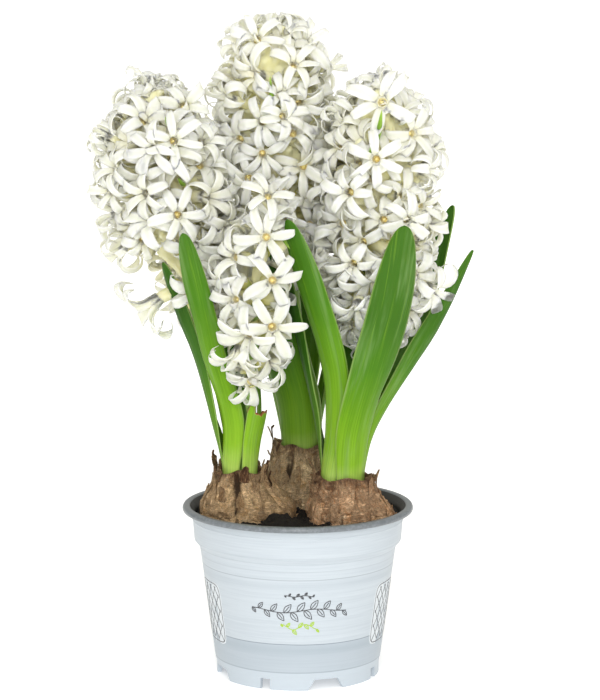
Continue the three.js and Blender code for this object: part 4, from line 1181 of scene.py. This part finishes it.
def petalMaterial():
    shader = Shader("waxyPetal")
    part = shader.attribute("part")
    petal = shader.attribute("petal", "Vector")
    across, tone, _ = shader.split(petal)
    colour = shader.ramp(shader.maths("MULTIPLY", part, 0.5), petalColours["along"])
    rib = shader.remap(shader.maths("ABSOLUTE", across), 0.05, 0.75, (0.55, 0))
    rib = shader.maths("MULTIPLY", rib, shader.remap(part, 0.9, 1.15))
    colour = shader.mix(rib, colour, petalColours["rib"])
    veins = shader.use(fineFibres, Place=shader.stretched(petal, (6.0, 0.9, 0.7)), Scale=1.0)
    colour = shader.mix(shader.maths("MULTIPLY", veins["Pale"], 0.3), colour, petalColours["vein"])
    # creamier with tone: partly random tone, partly painted bounce light deep in a head
    colour = shader.mix(shader.remap(tone, 0.0, 1.0, (0, 0.85)), colour, petalColours["creamToneAndBounce"])
    colour = shader.mix(shader.remap(tone, 1.4, 1.9), colour, petalColours["anther"])
    # painted shade: a head whose florets face the lamps more is darkened
    colour = shader.mix(shader.attribute("dim"), colour, petalColours["dim"])
    shader.bump(veins["Height"], 0.12, 0.6)
    wax = shader.noise(shader.place(), 0.4, 3)
    return shader.finish(colour, shader.remap(wax, 0.3, 0.7, (0.45, 0.58)), Specular_IOR_Level=0.2,
                         Subsurface_Weight=0.85, Subsurface_Scale=0.003, Subsurface_Radius=(1.0, 0.98, 0.8))


# Where a head's florets stand: up the axis by equal steps, round by the golden angle, drooping below and
# standing up at the top, each with its throat a little inside the head's outline. Those given one by one take
# the place of the ones nearest to them. A floret is its root and throat, the way it looks, its turn about
# that way, its size, and the slopes that its tepals reach halfway and at their tips.
def floretPlaces(key, head):
    random = np.random.default_rng(head["seed"])
    count = head["florets"]
    u = (np.arange(count) + 0.5 + random.uniform(*variety["step"], count)) / count
    latitude = np.arcsin(np.clip(2 * u - 1, -1, 1))
    up = latitude * np.where(latitude < 0, 0.5, 0.85) + np.radians(random.uniform(*variety["up"], count))
    turn = np.arange(count) * goldenAngle + head["turn"] + random.uniform(*variety["turn"], count)
    point, tangent = smoothPath(head["axis"], u)
    flat = heading(turn)
    flat = unit(flat - tangent * dot(flat, tangent))
    out = flat * np.cos(up)[:, None] + tangent * np.sin(up)[:, None]
    out = unit(out + random.uniform(*variety["lean"], (count, 1)) * np.cross(tangent, flat))
    depth = np.maximum(girth(head["radius"], u), 15 * np.cos(up)) + random.uniform(*variety["depth"], count)
    depth = depth - 5 * ease(u, 0.88, 1)
    throat = point + flat * depth[:, None] - out * floret["throatDepth"]
    throat = throat - tangent * (head["topRoom"] * ease(u, 0.8, 1))[:, None]
    for other in heads.values():
        if other is not head:
            throat = awayFrom(head, other, throat, out)
    spin = random.uniform(0, 60, count)
    size = random.uniform(*variety["size"], count) * (1 - 0.1 * ease(u, 0.88, 1.0))
    half = random.uniform(*variety["half"], count)
    curl = random.uniform(*variety["curl"], count) - 20 * ease(u, 0.9, 1.0)
    placed = np.array([(*star[0], *star[1:]) for star in stars[key]], float)
    middle, (angle, climb, starSpin, starSize, starHalf, starCurl, room) = placed[:, :3], placed[:, 3:].T
    keep = np.all(np.linalg.norm(throat[:, None] - middle[None], axis=-1) > room, axis=1)
    for *spot, reach in head.get("bare", ()):
        keep = keep & (np.linalg.norm(throat - np.array(spot), axis=1) > reach)
    climb = np.radians(climb)[:, None]
    starOut = heading(angle) * np.cos(climb) + np.array([0, 0, 1.0]) * np.sin(climb)
    low, high = head["axis"][0][2], head["axis"][-1][2]
    u = np.concatenate([u[keep], np.clip((middle[:, 2] - low) / (high - low), 0.05, 0.95)])
    throat, out = np.concatenate([throat[keep], middle]), np.concatenate([out[keep], starOut])
    axis = smoothPath(head["axis"], np.clip(u - 0.05, 0.01, 0.93))[0]
    root = axis + 2 * unit((throat - axis) * np.array([1, 1, 0.0]))
    broad = random.uniform(*variety["broad"], count)
    parts = [(spin, starSpin), (size, starSize), (half, starHalf), (curl, starCurl),
             (broad, np.full(len(placed), floret["starWidth"]))]
    shapes = [np.concatenate([rule[keep], star]) for rule, star in parts]
    return root, throat, out, shapes, random


# Throats too close to a neighbouring head are pushed back from the plane halfway between the two.
def awayFrom(head, other, throat, out):
    lines = [smoothPath(one["axis"], np.linspace(0, 1, 25))[0] for one in (head, other)]
    between = np.linalg.norm(lines[0][:, None] - lines[1][None], axis=-1)
    a, b = (line[index] for line, index in zip(lines, np.unravel_index(np.argmin(between), between.shape)))
    normal = unit(b - a)
    point = a + normal * np.linalg.norm(b - a) * head["radius"] / (head["radius"] + other["radius"])
    tilt = np.sum(out * normal, -1)
    reach = 13 * np.sqrt(np.clip(1 - tilt ** 2, 0, 1)) + 3 * np.clip(tilt, 0, 1)
    over = np.clip(np.sum((throat - point) * normal, -1) + reach - 3, 0, 14)
    inside = (throat[:, 2] > other["axis"][0][2] - 14) & (throat[:, 2] < other["axis"][-1][2] + 14)
    return throat - normal * (over * inside)[:, None]


# Each tepal is a strap whose slope turns from along the tube to nearly across it in its first third, and
# then curls on; its section is a shallow channel, thick in the middle. All tepals of a head are worked out
# together: floret, tepal, row, column.
def tepalPoints(throat, out, shapes, random):
    spin, size, half, curl, broad = shapes
    count, rows, cols = len(throat), floret["rows"], floret["columns"]
    s = 1 - (1 - np.linspace(0, 1, rows)) ** 1.3
    spin = spin[:, None] + np.arange(6)[None] * 60 + random.uniform(*variety["tepalTurn"], (count, 6))
    inner = (np.arange(6) % 2)[None, :, None]
    first = np.radians(random.uniform(*variety["tepalFirst"], (count, 6, 1)) - 4 * inner)
    bell = random.uniform(*variety["bell"], (count, 1, 1))
    spread = half[:, None, None] + random.uniform(*variety["tepalHalf"], (count, 6, 1)) - 5 * inner
    spread = np.radians(spread)
    loose = np.where(curl > 60, 35, 26)[:, None, None]
    last = spread + np.radians(curl[:, None, None] + loose * random.uniform(-1, 1, (count, 6, 1)))
    slope = first + (spread - first) * ease(s, 0.04, bell)
    slope = slope + (last - spread) * np.clip(s / 0.78 - 0.282, 0, 1) ** 1.25
    length = floret["tepalLength"] * (1 - 0.05 * inner)
    length = length * random.uniform(*variety["tepalLength"], (count, 6, 1))
    step = length * np.diff(s, prepend=0)
    r = floret["throatRadius"] - 0.6 + np.cumsum(np.sin(slope), -1) * step
    z = -floret["throatDepth"] - 0.4 * inner + np.cumsum(np.cos(slope), -1) * step
    bow = random.uniform(*variety["tepalBow"], (count, 6, 1)) * s ** 2.2
    wide = floret["tepalWidth"] * broad[:, None, None] * (1 - 0.12 * inner)
    wide = wide * random.uniform(*variety["tepalWidth"], (count, 6, 1)) * (0.66 + 0.34 * ease(s, 0.12, 0.45))
    wide = wide * np.maximum(1 - (np.clip(s - 0.45, 0, 1) / 0.552) ** 2.2, 0.02) ** 0.6
    v = np.linspace(-1, 1, cols)
    radial, lateral = heading(spin), heading(spin + 90)
    toAxis = np.array([0, 0, 1.0])
    radial, lateral = radial[:, :, None, None], lateral[:, :, None, None]
    face = -np.cos(slope)[..., None, None] * radial + np.sin(slope)[..., None, None] * toAxis
    twist = random.uniform(*variety["tepalTwist"], (count, 6, 1)) * s ** 1.4
    aside = lateral * np.cos(twist)[..., None, None] + face * np.sin(twist)[..., None, None]
    middle = radial * r[..., None, None] + toAxis * z[..., None, None] + lateral * bow[..., None, None]
    width = wide[..., None, None] * v[:, None] / 2
    wave = np.sin(s * 7 + random.uniform(0, 6, (count, 6, 1)))[..., None, None]
    wave = 0.5 * v[:, None] * wave * s[:, None, None]
    cup = floret["cup"] * wide[..., None, None] * v[:, None] ** 2 * (1.4 - 1.2 * s[:, None, None]) + wave
    thick = floret["thickness"] + (floret["edge"] - floret["thickness"]) * v[:, None] ** 2
    thick = thick * (0.45 + 0.55 * np.sqrt(np.maximum(1 - s ** 6, 0)))[:, None, None]
    front = middle + aside * width + face * (cup + thick / 2)
    back = middle + aside * width + face * (cup - thick / 2)
    local = np.stack([front, back], 2)                    # floret, tepal, face, row, column
    return inWorld(local * size[:, None, None, None, None, None], throat, out)


def inWorld(local, origin, out):          # a floret's own frame has +Z out of its throat
    side = unit(np.cross(np.array([0.02, 0.03, 1.0]), out))
    up = np.cross(out, side)
    frames = np.stack([side, up, out], 1)
    shape = (len(origin),) + (1,) * (local.ndim - 2) + (3,)
    flat = local.reshape(len(origin), -1, 3)
    return (flat @ frames).reshape(local.shape) + origin.reshape(shape)


# A tube bends from its root to its end along a parabola that arrives along out. The profile gives the share
# of the way that is left, and the radius there.
def tubePoints(root, end, out, size, profile):
    cols = floret["tubeColumns"]
    left = np.array([share for share, _ in profile])[None, :, None]
    radius = np.array([r for _, r in profile])[None, :, None, None] * size[:, None, None, None]
    reach = np.linalg.norm(end - root, axis=1)[:, None]
    bend = end - out * 0.7 * reach
    t = 1 - left
    a, b, c = root[:, None], bend[:, None], end[:, None]
    middle = (1 - t) ** 2 * a + 2 * t * (1 - t) * b + t * t * c
    tangent = unit(2 * (1 - t) * (b - a) + 2 * t * (c - b))
    side = unit(np.cross(np.array([0.02, 0.03, 1.0]), tangent))
    up = np.cross(tangent, side)
    turn = np.linspace(0, 2 * np.pi, cols, endpoint=False)[None, None, :, None]
    return middle[:, :, None] + (side[:, :, None] * np.cos(turn) + up[:, :, None] * np.sin(turn)) * radius


# Points of florets that would cut a leaf are pressed to the side of its blade that their throat is on.
def clearOfLeaves(points, throats):
    flat = points.reshape(len(throats), -1, 3)
    for leaf in leaves.values():
        middle, _, outward, side, spread, wide, _ = leafFrame(leaf, np.linspace(0, 1, 40))
        low, high = middle.min(0) - 16, middle.max(0) + 16
        near = np.all((throats > low - 24) & (throats < high + 24), axis=1)
        for k in np.nonzero(near)[0]:
            height = overBlade(throats[k][None], middle, outward, side, spread, wide)[1]
            sign = 1.0 if height[0] > 0 else -1.0
            p = flat[k]
            which, height = overBlade(p, middle, outward, side, spread, wide)
            aside = np.abs(np.sum((p - middle[which]) * side[which], -1)) - wide[which] / 2
            beyond = np.linalg.norm(p - middle[which], axis=-1) > wide[which] / 2 + 22
            share = (1 - ease(aside, 0.6, 3.5)) * ~beyond
            push = np.clip(1.5 - sign * height, 0, 14) * share
            flat[k] = p + outward[which] * (sign * push)[:, None]
    return flat.reshape(points.shape)


def overBlade(p, middle, outward, side, spread, wide):    # nearest row of a blade, height over its surface
    away = np.linalg.norm(p[:, None] - middle[None], axis=-1)
    which = np.argmin(away, 1)
    offset = p - middle[which]
    aside = np.clip(np.abs(np.sum(offset * side[which], -1)), 0, wide[which] / 2)
    bend = wide[which] / 2 / spread[which]
    drop = bend - np.sqrt(np.maximum(bend ** 2 - np.minimum(aside, bend) ** 2, 0))
    return which, np.sum(offset * outward[which], -1) + drop


# The inmost tubes and buds, crowded round the stalk: rings round the axis whose radius is a share of the
# outline's, with lumps.
def corePoints(head):
    rows, cols = core["rows"], core["columns"]
    u = np.linspace(*core["span"], rows)
    middle = smoothPath(head["axis"], u)[0]
    flat = np.broadcast_to(heading(np.linspace(0, 360, cols, endpoint=False))[None], (rows, cols, 3))
    outline = girth(head.get("coreRadius", head["radius"]), u) * ease(u, *core["swell"])
    radius = core["share"] * outline[:, None] * np.ones(cols)
    radius[0] = radius[-1] = 0.3
    lumpy = layeredLumps(middle[:, None] + flat * radius[..., None], core["lump"], head["seed"], 2)
    radius = radius * (1 + core["rough"] * lumpy)
    return middle[:, None] + flat * radius[..., None]


# How deep points lie in their head: 0 near its outline, 1 well inside.
def inwardness(points, head):
    line = smoothPath(head["axis"], np.linspace(*paintedDeepLight["axis"], paintedDeepLight["spots"]))[0]
    flat = points.reshape(-1, 3)
    away = np.sqrt(np.min([np.sum((flat - spot) ** 2, -1) for spot in line], axis=0))
    return (1 - ease(away / head["radius"], *paintedDeepLight["reach"])).reshape(points.shape[:-1])


# All of a head in one piece. Of each kind of point the petals' material reads its part (0 at the foot of a
# tube, 1 at the throat, 2 at a tepal's tip), and its place across, tone and place along; the tepals' tone
# holds painted bounce light deep in the head.
def makeHead(key, head, material):
    root, throat, out, shapes, random = floretPlaces(key, head)
    count, size = len(root), shapes[1]
    rows, cols, ring = floret["rows"], floret["columns"], floret["tubeColumns"]
    tepals = clearOfLeaves(tepalPoints(throat, out, shapes, random), throat)
    tubes = tubePoints(root, throat, out, np.minimum(size, floret["tubeSize"]), tubeProfile)
    low, high = (np.array([bract[k] for bract in bracts[key]], float) for k in (0, 1))
    thick = np.array([bract[2] for bract in bracts[key]])
    slivers = tubePoints(low, high, unit(high - low + np.array([0, 0, 3.0])), thick, bractProfile)
    inmost = corePoints(head)
    tone = 0.35 * random.uniform(0, 1, count) ** 2
    tepalPart = 1 + np.linspace(0, 1, rows)[:, None]
    # random tone, plus painted bounce light that makes tepals deep in the head creamier
    tepalToneAndBounce = tone[:, None, None, None, None] + paintedDeepLight["strength"] * inwardness(tepals, head)
    left = np.array([share for share, _ in tubeProfile])
    deep = np.arange(len(left)) > len(left) - 6           # the inner wall and the anthers are yellow
    tubePart = np.where(deep, 0.62, 1 - left)[:, None]
    tubeTone = np.where(deep, 2.0, tone[:, None])[..., None]
    sliverPart = 0.02 + 0.1 * np.arange(len(bractProfile))[:, None] / 6
    kinds = [                             # points, faces, part, then across, tone and along
        (tepals, sheetFaces(rows, cols, count * 6), tepalPart,
         (np.linspace(-1, 1, cols), tepalToneAndBounce, tepalPart + 3 * np.arange(6)[:, None, None, None])),
        (tubes, tubeFaces(len(tubeProfile), ring, count), tubePart, (1, tubeTone, tubePart)),
        (slivers, tubeFaces(len(bractProfile), ring, len(thick)), sliverPart, (sliverPart, 0, sliverPart)),
        (inmost, tubeFaces(core["rows"], core["columns"]), core["tone"], (core["tone"], 0, core["tone"])),
    ]
    faces, parts, petals, start = [], [], [], 0
    for points, blocks, part, petal in kinds:
        shape = points.shape[:-1]
        faces += [block + start for block in blocks]
        parts.append(np.broadcast_to(part, shape).ravel())
        petals.append(np.stack([np.broadcast_to(value, shape) for value in petal], -1).reshape(-1, 3))
        start += parts[-1].size
    values = {"part": np.concatenate(parts), "petal": np.concatenate(petals)}
    values["dim"] = np.full(start, head["dim"])
    points = np.concatenate([kind[0].reshape(-1, 3) for kind in kinds])
    makePiece("florets" + key.capitalize(), points, faces, [material], ["head_" + key],
              values=values)


# Floor, lights and camera

studio = {
    "camera": (1.14, -1600, 432), "pitch": 9.31, "focal": 3144, "imageHeight": 700,       # focal in pixels
    "sky": 0.74, "skyColour": (1.0, 0.993, 0.94), "skyFront": 0.2, "skyTop": 0.2, "skySides": 0.5,
    "backdrop": 1.0, "backdropColour": (1.0, 1.0, 1.0), "aim": (0, 0, 0.2),
    "lights": {
        "frontLight": {"place": (0.05, -1.9, 0.72), "size": 0.7, "power": 13.5},
        "keyLight": {"place": (-0.35, -1.75, 1.65), "size": 1.3, "power": 6},
        "fillLight": {"place": (1.6, -1.0, 0.9), "size": 1.6, "power": 2},
    },
    "floorHalf": 20.0, "floor": (0.95, 0.95, 0.95), "paleFloor": (0.97, 0.97, 0.97),
    "glow": (0.3, 0.62), "glowReach": (60, 1300),         # the floor's own light, near and far from the pot
}


def makeStage():
    half = studio["floorHalf"]
    mesh = bpy.data.meshes.new("floor")
    corners = [(-half, -half, 0), (half, -half, 0), (half, half, 0), (-half, half, 0)]
    mesh.from_pydata(corners, [], [(0, 1, 2, 3)])
    shader = Shader("paleFloor")
    grain = shader.noise(shader.place(), 0.01, 2)
    colour = shader.ramp(grain, [(0.3, studio["floor"]), (0.7, studio["paleFloor"])])
    away = shader.tree.nodes.new("ShaderNodeVectorMath")
    away.operation = "LENGTH"
    shader.link(shader.place(), away.inputs[0])
    share = shader.remap(away.outputs["Value"], *studio["glowReach"])
    near, far = ((strength,) * 3 for strength in studio["glow"])
    shader.link(shader.mix(share, near, far), shader.surface.inputs["Emission Color"])
    mesh.materials.append(shader.finish(colour, 0.9, Specular_IOR_Level=0.0, Emission_Strength=1.0))
    addToScene("floor", mesh)


# A soft warm sky, brighter in front and darker low at the sides. For a direction (x, y, z) it shines with
# 1 - front * y + top * z - sides * x * x * (1 - z) times its strength. The camera sees it evenly white.
def makeWorld():
    world = bpy.data.worlds.new("studio")
    world.use_nodes = True
    bpy.context.scene.world = world
    tree = Nodes(world.node_tree)
    direction = tree.tree.nodes.new("ShaderNodeTexCoord").outputs["Generated"]
    x, y, z = tree.split(direction)
    light = tree.maths("MULTIPLY_ADD", y, -studio["skyFront"], 1.0)
    light = tree.maths("MULTIPLY_ADD", z, studio["skyTop"], light)
    aside = tree.maths("MULTIPLY", tree.maths("MULTIPLY", x, x), tree.maths("SUBTRACT", 1.0, z))
    light = tree.maths("MULTIPLY_ADD", aside, -studio["skySides"], light)
    light = tree.maths("MULTIPLY", light, studio["sky"])
    seen = tree.tree.nodes.new("ShaderNodeLightPath").outputs["Is Camera Ray"]
    change = tree.maths("SUBTRACT", studio["backdrop"], light)
    sky = tree.tree.nodes["Background"]
    tree.link(tree.mix(seen, studio["skyColour"], studio["backdropColour"]), sky.inputs["Color"])
    tree.link(tree.maths("MULTIPLY_ADD", seen, change, light), sky.inputs["Strength"])


def makeLight(name, spec):                # a round lamp that looks at the aim
    light = bpy.data.lights.new(name, "AREA")
    light.shape = "DISK"
    light.size = spec["size"]
    light.energy = spec["power"]
    lamp = addToScene(name, light)
    lamp.location = spec["place"]
    lamp.rotation_mode = "QUATERNION"
    lamp.rotation_quaternion = (Vector(studio["aim"]) - Vector(spec["place"])).to_track_quat("-Z", "Y")


def makeCamera():
    data = bpy.data.cameras.new("camera")
    data.sensor_width = 36                # the long side of the image
    data.lens = studio["focal"] * data.sensor_width / studio["imageHeight"]
    data.clip_end = 60
    camera = addToScene("camera", data)
    camera.location = np.array(studio["camera"]) / 1000 + potAxis
    camera.rotation_euler = (math.radians(90 - studio["pitch"]), 0, 0)
    bpy.context.scene.camera = camera


makePot()
makePrints()
print("pot made")
darkPeat = peatMaterial()
makePeat(darkPeat)
makeCrumbs(darkPeat)
print("peat made")
for key in bulbs:
    skinMaterial = bulbMaterial(*skinColours[key])
    makeBulb(key, skinMaterial)
    makeFlakes(key, skinMaterial)
print("bulbs made")
waxyLeaf = leafMaterial()
for key, leaf in leaves.items():
    makeLeaf(key, leaf, waxyLeaf)
print("leaves made")
juicyStalk = stalkMaterial()
for key, stalk in stalks.items():
    makeStalk(key, stalk, juicyStalk)
print("stalks made")
waxyPetal = petalMaterial()
for key, head in heads.items():
    makeHead(key, head, waxyPetal)
print("flower heads made")
makeStage()
makeWorld()
for name, light in studio["lights"].items():
    makeLight(name, light)
makeCamera()
bpy.context.scene.view_settings.view_transform = "Standard"
print("stage, lights and camera made")
